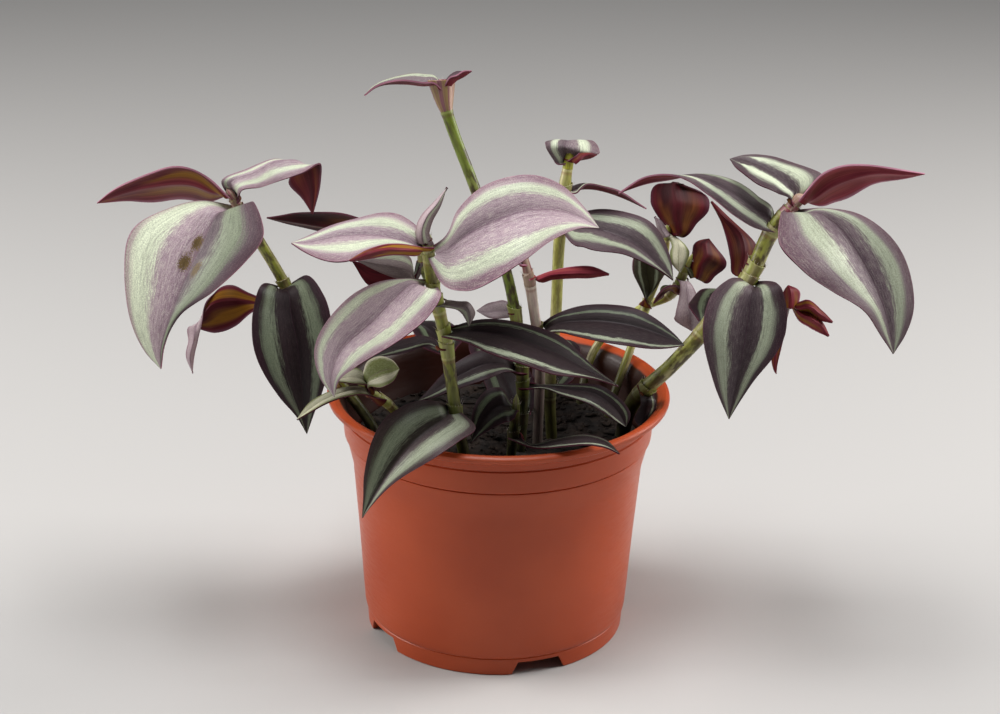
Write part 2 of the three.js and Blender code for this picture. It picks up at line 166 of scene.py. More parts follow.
# %% Where a pattern reads its place
class Pattern(Tree):
    def own_map(self):
        return self.add("UVMap", uv_map="leaf").outputs[0]

    def place(self):
        return self.add("TexCoord").outputs["Object"]

    def attribute(self, name):
        return self.add("Attribute", attribute_name=name).outputs["Fac"]

    def axes(self, vector):
        node = self.add("SeparateXYZ")
        self.put(node.inputs[0], vector)
        return node.outputs

    def stretched(self, vector, x, y, z=1.0):
        node = self.add("VectorMath", operation="MULTIPLY")
        self.put(node.inputs[0], vector)
        node.inputs[1].default_value = (x, y, z)
        return node.outputs[0]

    def noise(self, vector, scale, detail, seed=0.0):
        node = self.add("TexNoise", noise_dimensions="4D")
        self.fill(node, Vector=vector, W=seed, Scale=scale, Detail=detail)
        return node.outputs["Fac"]

    def strokes(self, own_map, across, along, detail, seed):
        """Noise with so many waves across and along a map: long strokes where across is more."""
        return self.noise(self.stretched(own_map, across, along), 1.0, detail, seed)


# %% Groups and materials
def new_group(name, outputs, inputs=()):
    """A group, its tree, its inputs by name and the node that takes its results."""
    group = bpy.data.node_groups.new(name, "ShaderNodeTree")
    kinds = {"colour": "NodeSocketColor", "value": "NodeSocketFloat"}
    for way, sockets in (("INPUT", inputs), ("OUTPUT", outputs)):
        for socket, kind in sockets:
            group.interface.new_socket(name=socket, in_out=way, socket_type=kinds[kind])
    given = group.nodes.new("NodeGroupInput").outputs
    results = group.nodes.new("NodeGroupOutput")
    return group, Pattern(group.nodes, group.links), given, results


def new_material(name, **fixed):
    """A material, its tree and its Principled shader, with the given sockets fixed."""
    material = bpy.data.materials.new(name)
    material.use_nodes = True
    nodes = material.node_tree.nodes
    tree = Pattern(nodes, material.node_tree.links)
    return material, tree, tree.fill(nodes["Principled BSDF"], **fixed)


def relief(tree, shader, height, depth_mm, strength):
    bump = tree.add("Bump")
    tree.fill(bump, Strength=strength, Distance=depth_mm * MM, Height=height)
    tree.fill(shader, Normal=bump.outputs[0])


# %% [markdown]
# A tradescantia leaf has two silver bands, one on each side of its midrib, on a mauve to dark
# purple skin. All its veins run from the base to the tip, so the pattern follows the leaf and not
# the room: it reads the leaf's UV map, with u across the leaf and v along it. Each leaf carries
# attributes. stripe holds how light the bands are, where the left and the right one lie on the way
# from midrib to margin, and how wide they are. ground is how pale the skin is, fresh how green,
# and scar where it has died. On the underside, rose is how pink the skin is, and glow how much
# light comes through it. seed keeps a leaf's noise from being its neighbour's.

# %% The colours of a leaf
DARK_GROUND, MAUVE_GROUND = (0.016, 0.0085, 0.010), (0.52, 0.39, 0.44)
DARK_MIDDLE, MAUVE_MIDDLE = (0.010, 0.005, 0.006), (0.38, 0.265, 0.32)
DARK_MARGIN, MAUVE_MARGIN = (0.030, 0.012, 0.018), (0.31, 0.185, 0.235)
DARK_RIB, MAUVE_RIB = (0.035, 0.018, 0.024), (0.20, 0.10, 0.15)
DARK_EDGE, MAUVE_EDGE = (0.085, 0.035, 0.045), (0.42, 0.22, 0.28)
DARK_BAND, SILVER_BAND = (0.105, 0.130, 0.080), (0.66, 0.72, 0.54)
GREEN_GROUND, GREEN_BAND = (0.150, 0.175, 0.050), (0.60, 0.58, 0.43)
MAUVE_STAIN, SCAR = (0.20, 0.115, 0.155), (0.12, 0.078, 0.032)
WINE, BRIGHT_WINE = (0.026, 0.003, 0.005), (0.105, 0.010, 0.016)
ROSE, BRIGHT_ROSE = (0.28, 0.030, 0.050), (0.52, 0.085, 0.12)
WINE_EDGE, ROSE_EDGE = (0.075, 0.016, 0.030), (0.50, 0.22, 0.30)
SHINE_THROUGH = (0.27, 0.120, 0.014)


# %% Where a point lies on its leaf
def leaf_place(tree):
    """The map, the way from midrib to margin with its sign and without it, and the way to the tip."""
    own_map = tree.own_map()
    u, v, _ = tree.axes(own_map)
    signed = tree.minus(tree.times(u, 2.0), 1.0)
    return own_map, signed, tree.math("ABSOLUTE", signed), v


def leaf_bands(tree, signed):
    """How light the bands are, where the one on this half lies and how wide they are."""
    stripe = tree.add("Attribute", attribute_name="stripe")
    split = tree.add("SeparateColor")
    tree.put(split.inputs[0], stripe.outputs["Color"])
    light, left, right = split.outputs
    on_right = tree.math("GREATER_THAN", signed, 0.0)
    centre = tree.plus(left, tree.times(on_right, tree.minus(right, left)))
    return light, centre, stripe.outputs["Alpha"]


# %% [markdown]
# The bands have no sharp sides on a real leaf: single cells turn from silver to purple, in strokes
# along the veins. So three noises move each point a little way across the leaf before it is asked
# whether it lies in a band, and a fine silver bloom is strewn over the skin between the bands.

# %% The silver bands
upper_side, t, _, results = new_group(
    "leaf stripes", [("Colour", "colour"), ("Shine", "value"), ("Height", "value")])
own_map, signed, across, _ = leaf_place(t)
light, centre, spread = leaf_bands(t, signed)
seed, paleness = t.attribute("seed"), t.attribute("ground")
drift = t.strokes(own_map, 3.0, 2.2, 2.0, seed)
streak = t.strokes(own_map, 38.0, 3.0, 4.0, seed)
fine = t.strokes(own_map, 90.0, 24.0, 3.0, seed)
glitter = t.strokes(own_map, 120.0, 160.0, 1.0, seed)
wander = t.plus(t.plus(t.sway(drift, 0.40), t.sway(streak, 0.30)), t.sway(fine, 0.24))
reached = t.plus(across, wander)
distance = t.math("ABSOLUTE", t.minus(reached, centre))
silver = t.between(distance, t.times(spread, 1.75), t.times(spread, 0.45))
bloom = t.times(t.between(fine, 0.42, 0.66), t.between(glitter, 0.35, 0.62, 0.3, 1.0))
silver = t.plus(silver, t.times(bloom, t.between(paleness, 0.0, 0.6, 0.03, 0.30)), clamp=True)

# %% The skin between the bands
margin = t.between(reached, 0.66, 0.98)
middle = t.between(reached, 0.30, 0.02)
dark = t.mix(margin, t.mix(middle, DARK_GROUND, DARK_MIDDLE), DARK_MARGIN)
pale = t.mix(margin, t.mix(middle, MAUVE_GROUND, MAUVE_MIDDLE), MAUVE_MARGIN)
stain = t.times(t.between(streak, 0.50, 0.70), t.between(drift, 0.35, 0.65, 0.2, 0.7))
pale = t.mix(stain, pale, MAUVE_STAIN)
fresh = t.attribute("fresh")
skin = t.mix(fresh, t.mix(paleness, dark, pale), GREEN_GROUND)
band = t.mix(fresh, t.mix(light, DARK_BAND, SILVER_BAND), GREEN_BAND)
colour = t.mix(t.times(silver, 0.92), skin, band)

# %% The midrib, the edge, dead spots and grain
rib = t.between(across, 0.026, 0.006)
colour = t.mix(t.times(rib, 0.5), colour, t.mix(paleness, DARK_RIB, MAUVE_RIB))
edge = t.between(across, 0.965, 0.995)
colour = t.mix(t.times(edge, 0.6), colour, t.mix(paleness, DARK_EDGE, MAUVE_EDGE))
scar = t.attribute("scar")
spots = t.between(t.plus(scar, t.sway(glitter, 1.6)), 0.40, 0.62)
colour = t.mix(t.times(spots, t.between(scar, 0.05, 0.3)), colour, SCAR)
depth = t.plus(t.between(streak, 0.25, 0.75, 0.80, 1.12), t.between(fine, 0.3, 0.7, -0.14, 0.14))
depth = t.plus(depth, t.between(glitter, 0.30, 0.72, -0.20, 0.24))
ridges = t.plus(t.plus(t.times(streak, 0.5), t.times(fine, 0.3)), t.times(glitter, 0.25))
t.fill(results, Colour=t.brightened(colour, depth), Shine=t.minus(0.46, t.times(silver, 0.10)),
       Height=ridges)
print(upper_side.name, "has", len(upper_side.nodes), "nodes")

# %% [markdown]
# The underside has no bands. It is wine red, rosier on young leaves, with a lighter edge. Where
# light comes through from above, the middle of each half glows olive to orange.

# %% The underside
under_side, t, _, results = new_group("leaf underside", [("Colour", "colour"), ("Height", "value")])
own_map, _, across, along = leaf_place(t)
seed, rose = t.attribute("seed"), t.attribute("rose")
drift = t.strokes(own_map, 2.5, 1.8, 2.0, seed)
streak = t.strokes(own_map, 26.0, 2.0, 3.0, seed)
cloud = t.between(drift, 0.3, 0.7)
skin = t.mix(rose, t.mix(cloud, WINE, BRIGHT_WINE), t.mix(cloud, ROSE, BRIGHT_ROSE))
edge = t.mix(t.times(rose, 2.0, clamp=True), WINE_EDGE, ROSE_EDGE)
skin = t.mix(t.between(across, 0.84, 0.98), skin, edge)
mid_half = t.between(t.math("ABSOLUTE", t.minus(across, 0.45)), 0.36, 0.05)
near_base = t.between(t.plus(drift, t.times(along, -0.40)), 0.10, 0.42)
lit = t.times(t.times(mid_half, near_base), t.attribute("glow"), clamp=True)
skin = t.mix(lit, skin, SHINE_THROUGH)
t.fill(results, Colour=t.brightened(skin, t.between(streak, 0.25, 0.75, 0.72, 1.22)), Height=streak)
print(under_side.name, "has", len(under_side.nodes), "nodes")

# %% The leaf's two materials
LEAF_RELIEF = 0.16  # mm
leaf_upper, t, shader = new_material("leaf upper side", Specular_IOR_Level=0.16)
look = t.add("Group", node_tree=upper_side).outputs
t.fill(shader, Base_Color=look["Colour"], Roughness=look["Shine"])
relief(t, shader, look["Height"], LEAF_RELIEF, 0.6)

leaf_under, t, shader = new_material("leaf underside", Roughness=0.5, Specular_IOR_Level=0.10)
look = t.add("Group", node_tree=under_side).outputs
t.fill(shader, Base_Color=look["Colour"])
relief(t, shader, look["Height"], LEAF_RELIEF, 0.5)
print("leaf finishes:", leaf_upper.name, "and", leaf_under.name)

# %% [markdown]
# The stems are fleshy and yellow-green, with olive flecks that run lengthways, a paler ring at
# each node and a little red below it. They are darker low in the pot, where little light gets to
# them, unless they lean out over its rim. The closed sheaths that hold the leaves are the same
# flesh, with fine lines. One group gives the flecks to both. Its map has u round the stem in turns
# and v along it in centimetres, so that the flecks keep their size on every stem.

# %% Flecks of stems and sheaths
# Two heights in metres and how bright the flesh is at each, and then the same with the square of
# the distance from the pot's axis.
POT_SHADE = (0.080, 0.126, 0.16, 1.0)
LEANING_OUT = (0.0019, 0.0032, 0.0, 0.95)
flecks, t, given, results = new_group(
    "stem flecks", [("Colour", "colour"), ("Height", "value")],
    [("Green", "colour"), ("Pale", "colour"), ("Olive", "colour"), ("Blush", "colour"),
     ("Amount", "value")])
own_map, seed, node = t.own_map(), t.attribute("seed"), t.attribute("node")
long_flecks = t.strokes(own_map, 8.0, 2.2, 3.0, seed)
lines = t.strokes(own_map, 24.0, 0.9, 2.0, seed)
patches = t.strokes(own_map, 1.8, 0.8, 1.0, seed)
wide_lines = t.strokes(own_map, 3.2, 0.25, 2.0, seed)
colour = t.mix(t.between(wide_lines, 0.44, 0.66), given["Green"], given["Pale"])
share = t.times(t.between(long_flecks, 0.42, 0.58), t.between(patches, 0.28, 0.60))
colour = t.mix(t.times(share, given["Amount"]), colour, given["Olive"])
ring = t.between(node, 0.55, 1.0)
colour = t.mix(t.times(ring, 0.75), colour, given["Pale"])
blush = t.times(t.between(node, 0.0, 0.45), t.between(node, 0.75, 0.45))
colour = t.mix(t.times(blush, 0.5), colour, given["Blush"])
x, y, z = t.axes(t.place())
reach = t.plus(t.times(x, x), t.times(y, y))
daylight = t.math("MAXIMUM", t.between(z, *POT_SHADE), t.between(reach, *LEANING_OUT))
tint = t.times(t.between(lines, 0.25, 0.75, 0.84, 1.12), daylight)
t.fill(results, Colour=t.brightened(colour, tint), Height=lines)

# %% Stem, sheath and hair materials
# The flesh, its pale lines and rings, the flecks, the blush below a node, and how many flecks.
FLESHY = {
    "green stem": ((0.27, 0.29, 0.030), (0.50, 0.46, 0.20), (0.085, 0.060, 0.014), (0.26, 0.13, 0.05), 1.0),
    "olive stem": ((0.17, 0.23, 0.020), (0.30, 0.32, 0.10), (0.060, 0.042, 0.014), (0.16, 0.09, 0.04), 1.0),
    "cream stem": ((0.42, 0.42, 0.090), (0.64, 0.58, 0.30), (0.20, 0.16, 0.035), (0.34, 0.17, 0.08), 0.6),
    "pink stem": ((0.80, 0.60, 0.52), (0.85, 0.73, 0.60), (0.55, 0.25, 0.33), (0.45, 0.20, 0.10), 0.4),
    "leaf sheath": ((0.33, 0.37, 0.07), (0.52, 0.48, 0.24), (0.20, 0.11, 0.05), (0.36, 0.16, 0.13), 0.7),
    "young sheath": ((0.50, 0.34, 0.24), (0.64, 0.50, 0.38), (0.34, 0.08, 0.12), (0.45, 0.14, 0.22), 1.0),
    "top sheath": ((0.42, 0.44, 0.030), (0.72, 0.62, 0.14), (0.24, 0.20, 0.015), (0.44, 0.22, 0.10), 0.5),
    "funnel sheath": ((0.38, 0.25, 0.10), (0.74, 0.50, 0.40), (0.26, 0.060, 0.12), (0.50, 0.16, 0.26), 1.0),
}


def fleshy(name, green, pale, olive, blush, amount):
    material, t, shader = new_material(name, Roughness=0.42, Coat_Weight=0.1, Coat_Roughness=0.3)
    look = t.add("Group", node_tree=flecks)
    t.fill(look, Green=green, Pale=pale, Olive=olive, Blush=blush, Amount=amount)
    t.fill(shader, Base_Color=look.outputs["Colour"])
    relief(t, shader, look.outputs["Height"], 0.12, 0.5)
    return material


flesh = {name: fleshy(name, *finish) for name, finish in FLESHY.items()}
hair_white = new_material("sheath hairs", Roughness=0.5, Base_Color=(0.72, 0.66, 0.62))[0]
print("stem and sheath finishes:", *flesh, sep=", ")

# %% [markdown]
# The stems were routed in CAD as smooth curves through a few points. The same points make the
# same curve here. A place on a stem is counted in segments of its length, as the leaves' sheaths
# are, so that a leaf can be put on its node by one number.

# %% Routes of the stems
SEGMENT = 5.4  # mm
STEMS = {  # the radius and the points that the stem runs through, in mm
    "a": (2, [(-42, 0, 58), (-43, 0, 70), (-62, -3, 101), (-75, -6, 131), (-81, -8, 143), (-91, -12, 163)]),
    "b": (2.1, [(-8, -40, 58), (-9, -41, 70), (-14, -44, 98), (-18, -42, 125), (-22, -43, 143),
                (-24, -45, 160)]),
    "c": (2, [(8, -10, 58), (8, -10, 70), (8, -10, 100), (2, -8, 135), (-9, -4, 163), (-19, 0, 189),
              (-21, 2, 199)]),
    "d": (1.9, [(14, -5, 58), (14, -5, 70), (14, -6, 106), (12, -8, 119), (10, -10, 132), (8, -11, 141)]),
    "e": (2.1, [(19, 2, 58), (19, 2, 70), (18, 1, 88), (19.5, 4, 115), (20, 6, 140), (21.5, 8, 161),
                (23, 9, 172)]),
    "f": (2.8, [(43, 3, 58), (44, 2, 70), (47, -8, 88), (59, -14, 104), (68, -14, 115), (84, -12, 136),
                (91, -10, 152), (100, -10, 164)]),
    "g": (1.6, [(40, 22, 58), (40, 22, 70), (47, 28, 92), (53, 37, 107), (58, 39, 121), (60, 40, 136)]),
    "j": (1.6, [(30, 34, 58), (30, 34, 70), (36, 40, 90), (52, 42, 104), (62, 40, 110), (68, 38, 124)]),
    "k": (1.7, [(-15, 2, 58), (-15, 2, 70), (-15, 0, 85), (-18, -3, 104), (-21, -6, 122), (-26, -8, 136),
                (-27, -8, 146)]),
    "l": (1.6, [(-27, -27, 58), (-27, -27, 70), (-31, -32, 86), (-36, -37, 97), (-44, -42, 105)]),
    "h": (1.7, [(4, -31, 58), (4, -31, 70), (5, -36, 84), (6, -39, 100)]),
    "shoot": (1.5, [(75, -13, 124), (84, -8, 121), (94, -8, 122), (99, -10, 129)]),
}


def smooth_route(points, steps=40):
    """A curve through the points that never swings out at a sharp turn (centripetal)."""
    p = np.array(points, float)
    p = np.vstack([2 * p[0] - p[1], p, 2 * p[-1] - p[-2]])
    path = []
    for i in range(1, len(p) - 2):
        before, here, after = (np.linalg.norm(p[i + k] - p[i + k - 1]) ** 0.5 for k in range(3))
        slopes = []
        for k, (g0, g1) in ((i, (before, here)), (i + 1, (here, after))):
            slope = (p[k] - p[k - 1]) / g0 - (p[k + 1] - p[k - 1]) / (g0 + g1) + (p[k + 1] - p[k]) / g1
            slopes.append(slope * here)
        s = np.linspace(0, 1, steps, endpoint=i == len(p) - 3)[:, None]
        path.append((2 * s**3 - 3 * s**2 + 1) * p[i] + (s**3 - 2 * s**2 + s) * slopes[0]
                    + (3 * s**2 - 2 * s**3) * p[i + 1] + (s**3 - s**2) * slopes[1])
    return np.vstack(path)


def unit(vectors):
    return vectors / np.maximum(np.linalg.norm(vectors, axis=-1, keepdims=True), 1e-9)


def smoothstep(x, low, high):
    s = np.clip((x - low) / (high - low), 0, 1)
    return s * s * (3 - 2 * s)


# %% A stem, and what can be asked of it
HEADING_STEPS = 12  # steps at the end of a route that say where it is heading
ASIDE = 0.15  # segments on both sides of a place that say which way the stem runs there
TIP_SEGMENTS, TIP_THINNING = 2.0, 0.45


class Stem:
    def __init__(self, radius, points):
        self.radius, self.path = radius, smooth_route(points)
        steps = np.linalg.norm(np.diff(self.path, axis=0), axis=1)
        self.reach = np.concatenate([[0], np.cumsum(steps)])
        self.length = self.reach[-1]
        self.count = round(self.length / SEGMENT)
        self.heading = unit(self.path[-1] - self.path[-HEADING_STEPS])

    def point(self, place):
        """The point at a place counted in segments. Past the end the stem goes straight on."""
        distance = np.asarray(place, float) * self.length / self.count
        inside = np.stack([np.interp(distance, self.reach, self.path[:, i]) for i in range(3)], -1)
        return inside + np.maximum(distance - self.length, 0)[..., None] * self.heading

    def axis(self, place):
        place = np.asarray(place, float)
        return unit(self.point(place + ASIDE) - self.point(np.maximum(place - ASIDE, 0)))

    def thickness(self, place):
        """The radius, which falls to little more than half in the growing tip."""
        near_tip = smoothstep(np.asarray(place, float), self.count - TIP_SEGMENTS, self.count)
        return self.radius * (1 - TIP_THINNING * near_tip)


stems = {key: Stem(radius, points) for key, (radius, points) in STEMS.items()}
print({key: round(float(stem.length)) for key, stem in stems.items()}, "mm of stem")

# %% [markdown]
# A leaf is a thin sheet, and so is its sheath, which is a sheet rolled round the stem. Both start
# as Blender's grid, which comes flat, with square faces and an even UV map. The grid is then laid
# where it belongs by a rule that takes each point's share across and along the sheet.

# %% Laying a grid
def laid_grid(name, across, along, place):
    """A grid whose points go to place(u, v), with u and v from 0 to 1, in millimetres."""
    start_clean()
    bpy.ops.mesh.primitive_grid_add(x_subdivisions=across, y_subdivisions=along, size=1)
    piece = bpy.context.object
    piece.name = name
    mesh = piece.data
    mesh.uv_layers[0].name = "leaf"
    flat = np.empty(len(mesh.vertices) * 3)
    mesh.vertices.foreach_get("co", flat)
    flat = flat.reshape(-1, 3)
    points = place(flat[:, 0] + 0.5, flat[:, 1] + 0.5) * MM
    mesh.vertices.foreach_set("co", points.ravel())
    mesh.update()
    return piece


def give(piece, name, values):
    """Puts one value, or one for each point, on the mesh as an attribute that materials read."""
    mesh = piece.data
    values = np.asarray(values, float)
    colour = values.shape[-1:] == (4,)
    attribute = mesh.attributes.new(name, "FLOAT_COLOR" if colour else "FLOAT", "POINT")
    spread_out = np.broadcast_to(values, (len(mesh.vertices), 4) if colour else len(mesh.vertices))
    attribute.data.foreach_set("color" if colour else "value", spread_out.ravel())


def scale_uv(mesh, across, along):
    uv = np.empty(len(mesh.loops) * 2)
    mesh.uv_layers[0].data.foreach_get("uv", uv)
    uv = uv.reshape(-1, 2) * (across, along)
    mesh.uv_layers[0].data.foreach_set("uv", uv.ravel())


def weld(piece, distance=0.004):
    """Joins points closer than the distance in mm, such as those along a tube's seam."""
    select(piece)
    bpy.ops.object.mode_set(mode="EDIT")
    bpy.ops.mesh.select_all(action="SELECT")
    bpy.ops.mesh.remove_doubles(threshold=distance * MM)
    bpy.ops.mesh.normals_make_consistent(inside=False)
    bpy.ops.object.mode_set(mode="OBJECT")


# %% [markdown]
# Each stem is a grid rolled into a tube along its route. It swells at its nodes and is a little
# thinner between them, and it closes in a round end inside the growing tip. The node attribute is
# 1 at a node's ring, so that the material can tint it. The nodes are known once the leaves are
# built, so the stems themselves come after them.

# %% The stems
STEPS_PER_SEGMENT, STEM_SIDES = 5, 18
WAIST, SWELLING = 0.07, 0.10  # how much thinner a stem is between nodes, and thicker at one
ROUND_END = 0.28  # segments
RIBS, RIB_HEIGHT = 7, 0.012


def side_frames(stem, places):
    """Two directions square to the stem at each place, turned as little as possible on the way."""
    axes = stem.axis(places)
    normals = [unit(np.cross(axes[0], (0, 1, 0.2)))]
    for axis in axes[1:]:
        last = normals[-1]
        normals.append(unit(last - axis * (last @ axis)))
    normals = np.array(normals)
    return normals, np.cross(axes, normals)


def bump_at(distance, width):
    """1 where the distance is nothing, and down to nothing about two widths away."""
    return np.exp(-(distance / width) ** 2)


def build_stem(key, nodes, material):
    """A tube along the stem's route. Its letter gives the number that its noise starts from."""
    stem = stems[key]
    rows = stem.count * STEPS_PER_SEGMENT
    places = np.linspace(0, stem.count, rows + 1)
    first, second = side_frames(stem, places)
    near = np.min([np.abs(places - n) for n in nodes], axis=0)
    swelling = 1 - WAIST * (1 - bump_at(near, 1.2)) + SWELLING * bump_at(near, 0.16)
    to_tip = np.clip((stem.count - places) / ROUND_END, 0, 1)
    end = np.sqrt(np.clip(1 - (1 - to_tip) ** 2, 0, 1))
    start = np.clip(places / 0.2, 0, 1)
    radius = stem.thickness(places) * swelling * end * start
    centre = stem.point(places)

    def place(u, v):
        row = np.rint(v * rows).astype(int)
        angle = 2 * math.pi * u
        ribbed = radius[row] * (1 + RIB_HEIGHT * np.cos(RIBS * angle))
        return (centre[row] + first[row] * (ribbed * np.cos(angle))[:, None]
                + second[row] * (ribbed * np.sin(angle))[:, None])

    piece = laid_grid("stem_" + key, STEM_SIDES, rows, place)
    mesh = piece.data
    scale_uv(mesh, 1.0, stem.length / 10)
    row_of = np.repeat(np.arange(rows + 1), STEM_SIDES + 1)
    give(piece, "node", bump_at(near, 0.22)[row_of])
    give(piece, "seed", float(ord(key[0]) % 17))
    weld(piece)
    mesh.materials.append(material)
    shade(piece, 60)
    return piece


# %% [markdown]
# A blade is a thin sheet too. Where it leaves the sheath it clasps the stem, and then it spreads
# into a broad, round base. Two rules lay it. Where the leaf is plain, a curve runs from its sheath
# over its middle to its tip, and an outline gives its width, as in CAD. Where its shape is its
# own, the sheet is lofted through a few cross rows, each with a point on the left margin, the
# midrib and the right margin. Both arch each half a little, so that the midrib lies in a shallow
# trough, and wave the margins. The sheet then gets its thickness from a Solidify modifier, whose
# back takes the second material: the underside.

# %% A blade by its middle, tip and width
SHEATH_GAP = 0.36  # mm
BROAD_FROM = 13  # mm of width: wider leaves have a heart-shaped base
# The share of the way to the tip, and how much of its full width the leaf has there.
BROAD = [(0, 0.2), (0.06, 0.7), (0.17, 0.94), (0.34, 1), (0.58, 0.85), (0.8, 0.46), (0.92, 0.17), (1, 0)]
SMALL = [(0, 0.3), (0.14, 0.78), (0.38, 1), (0.68, 0.7), (0.88, 0.3), (1, 0)]
BROAD_TURN, SMALL_TURN = 0.25, 0.4  # the share of its length in which a leaf turns its face up
LOBE = 0.25  # how far the base reaches back beside the stem, for half a leaf's width
PLAIN_FOLD = math.radians(12)
CLASP_ANGLE = math.radians(102)
CLASP_RISE = 3.2  # mm that the blade climbs while it clasps the stem
VALLEY_ROUND, VALLEY_DEPTH = 0.006, 0.077  # round off the fold along the midrib
WAVES, HALVES_APART = 2.3, 0.9  # waves of the margin, and how far the two margins are out of step


def smooth_track(t, stations, values):
    """A smooth curve through values at the stations, read at each t."""
    x, y = np.array(stations, float), np.array(values, float)
    flat = y.ndim == 1
    y = y.reshape(len(x), -1)
    slope = np.gradient(y, x, axis=0)
    i = np.clip(np.searchsorted(x, t, side="right") - 1, 0, len(x) - 2)
    h = (x[i + 1] - x[i])[:, None]
    s = (t - x[i])[:, None] / h
    track = ((2 * s**3 - 3 * s**2 + 1) * y[i] + (s**3 - 2 * s**2 + s) * h * slope[i]
             + (3 * s**2 - 2 * s**3) * y[i + 1] + (s**3 - s**2) * h * slope[i + 1])
    return track[:, 0] if flat else track


def relief_of_blade(c, t, half, arch, wave, phase):
    """How far the sheet rises from its plain form: two arched halves and a waving margin."""
    halves = arch * half * np.sin(math.pi * np.abs(c)) * (1 - t**3)
    turn = 2 * math.pi * (WAVES * t + phase) + np.sign(c) * HALVES_APART
    return halves + wave * half * np.abs(c) ** 3 * np.sin(turn)


def clasping_row(centre, out, clasp, thick, c):
    """The points at the blade's foot, which lie round the stem like a hand round a rod."""
    angle = c * CLASP_ANGLE
    outward = out * np.cos(angle)[:, None] + clasp * np.sin(angle)[:, None]
    return centre + outward * (thick + SHEATH_GAP + 0.3)


def ruled_blade(stem, seat, out, blade, phase):
    """Gives place(u, v) for a plain blade. seat is the place on the stem where it starts."""
    centre, axis, thick = stem.point(seat), stem.axis(seat), stem.thickness(seat)
    middle, tip = np.array(blade["middle"], float), np.array(blade["tip"], float)
    face = unit(np.array(blade["face"], float))
    width, broad = blade["width"], blade["width"] > BROAD_FROM
    stations, turn = (BROAD, BROAD_TURN) if broad else (SMALL, SMALL_TURN)
    base = centre + out * (thick + SHEATH_GAP + 0.2)
    control = 2 * middle - (base + tip) / 2
    start = unit(control - base)
    root_face = axis * (start @ out) - out * (start @ axis)
    clasp = np.cross(out, axis)

    def place(u, v):
        c, t = 2 * u - 1, v
        tt = t[:, None]
        spine = (1 - tt) ** 2 * base + 2 * tt * (1 - tt) * control + tt**2 * tip
        tangent = unit(2 * (1 - tt) * (control - base) + 2 * tt * (tip - control))
        turned = smoothstep(t, 0, turn)
        up = root_face * (1 - turned[:, None]) + face * turned[:, None]
        up = unit(up - tangent * np.sum(up * tangent, axis=1, keepdims=True))
        side = np.cross(tangent, up)
        half = np.maximum(smooth_track(t, *zip(*stations)) * width / 2, 0.12)
        lift = turned * PLAIN_FOLD
        valley = np.sqrt(c**2 + VALLEY_ROUND) - VALLEY_DEPTH
        arched = relief_of_blade(c, t, half, blade["arch"], blade["wave"], phase)
        rise = half * valley * np.sin(lift) + turned * arched
        back = np.where(t < turn, LOBE * half * c**2 * (1 - t / turn), 0) * (1 if broad else 0)
        free = (spine - tangent * back[:, None] + side * (c * half * np.cos(lift))[:, None]
                + up * rise[:, None])
        held = clasping_row(centre, out, clasp, thick, c) + axis * (CLASP_RISE * t / turn)[:, None]
        hold = (1 - smoothstep(t, 0, turn * 0.42))[:, None]
        return held * hold + free * (1 - hold)

    return place


# %% A blade through cross rows
def lofted_blade(stem, seat, out, blade, phase):
    """Gives place(u, v) for a blade through rows of a left, a middle and a right point."""
    centre, axis, thick = stem.point(seat), stem.axis(seat), stem.thickness(seat)
    clasp = np.cross(out, axis)
    first = clasping_row(centre, out, clasp, thick, np.array([-1.0, 0.0, 1.0]))
    rows = np.array([first, *blade["rows"]], float)
    reach = np.cumsum(np.linalg.norm(np.diff(rows[:, 1], axis=0), axis=1))
    stations = np.concatenate([[0], reach / reach[-1]])

    def place(u, v):
        c, t = 2 * u - 1, v
        left, mid, right = (smooth_track(t, stations, rows[:, k]) for k in range(3))
        ahead, behind = (smooth_track(np.clip(t + d, 0, 1), stations, rows[:, 1]) for d in (0.02, -0.02))
        up = unit(np.cross(right - left, ahead - behind))
        half = np.linalg.norm(right - left, axis=1) / 2
        on_right, share = c[:, None] > 0, np.abs(c)[:, None]
        free = mid + (np.where(on_right, right, left) - mid) * share
        turned = smoothstep(t, 0.02, 0.2)
        rise = turned * relief_of_blade(c, t, half, blade["arch"], blade["wave"], phase)
        straight = first[1] + (np.where(on_right, first[2], first[0]) - first[1]) * share
        ring = clasping_row(centre, out, clasp, thick, c) - straight
        hold = (1 - smoothstep(t, 0, 0.12))[:, None]
        return free + up * rise[:, None] + ring * hold

    return place


# %% The sheet and its thickness
LEAF_THICKNESS = 0.5  # mm
BIG_GRID, SMALL_GRID = (30, 56), (16, 32)  # faces across and along
SCAR_WIDTH, SCAR_LENGTH = 0.09, 0.05  # shares of the half leaf and of its length


def from_half_to_half(values, c):
    """The left half's value, and the right half's on the other side of the midrib."""
    left, right = values
    return left + (right - left) * smoothstep(c, -0.06, 0.06)


def colour_blade(piece, c, t, blade, look, seed):
    """Gives the sheet the attributes that its two materials read."""
    left, right = (np.full_like(c, place) for place in look["place"])
    spread = look["spread"] * (1 - look["bare"] * smoothstep(t, 0.66, 0.84))
    light = from_half_to_half(look["light"], c)
    give(piece, "stripe", np.stack([light, left, right, spread], axis=1))
    give(piece, "ground", from_half_to_half(look["ground"], c))
    scar = np.zeros_like(c)
    for across, along in blade["scars"]:
        scar += np.exp(-((c - across) / SCAR_WIDTH) ** 2 - ((t - along) / SCAR_LENGTH) ** 2)
    give(piece, "scar", scar)
    for part in ("fresh", "glow", "rose"):
        give(piece, part, look[part])
    give(piece, "seed", seed)


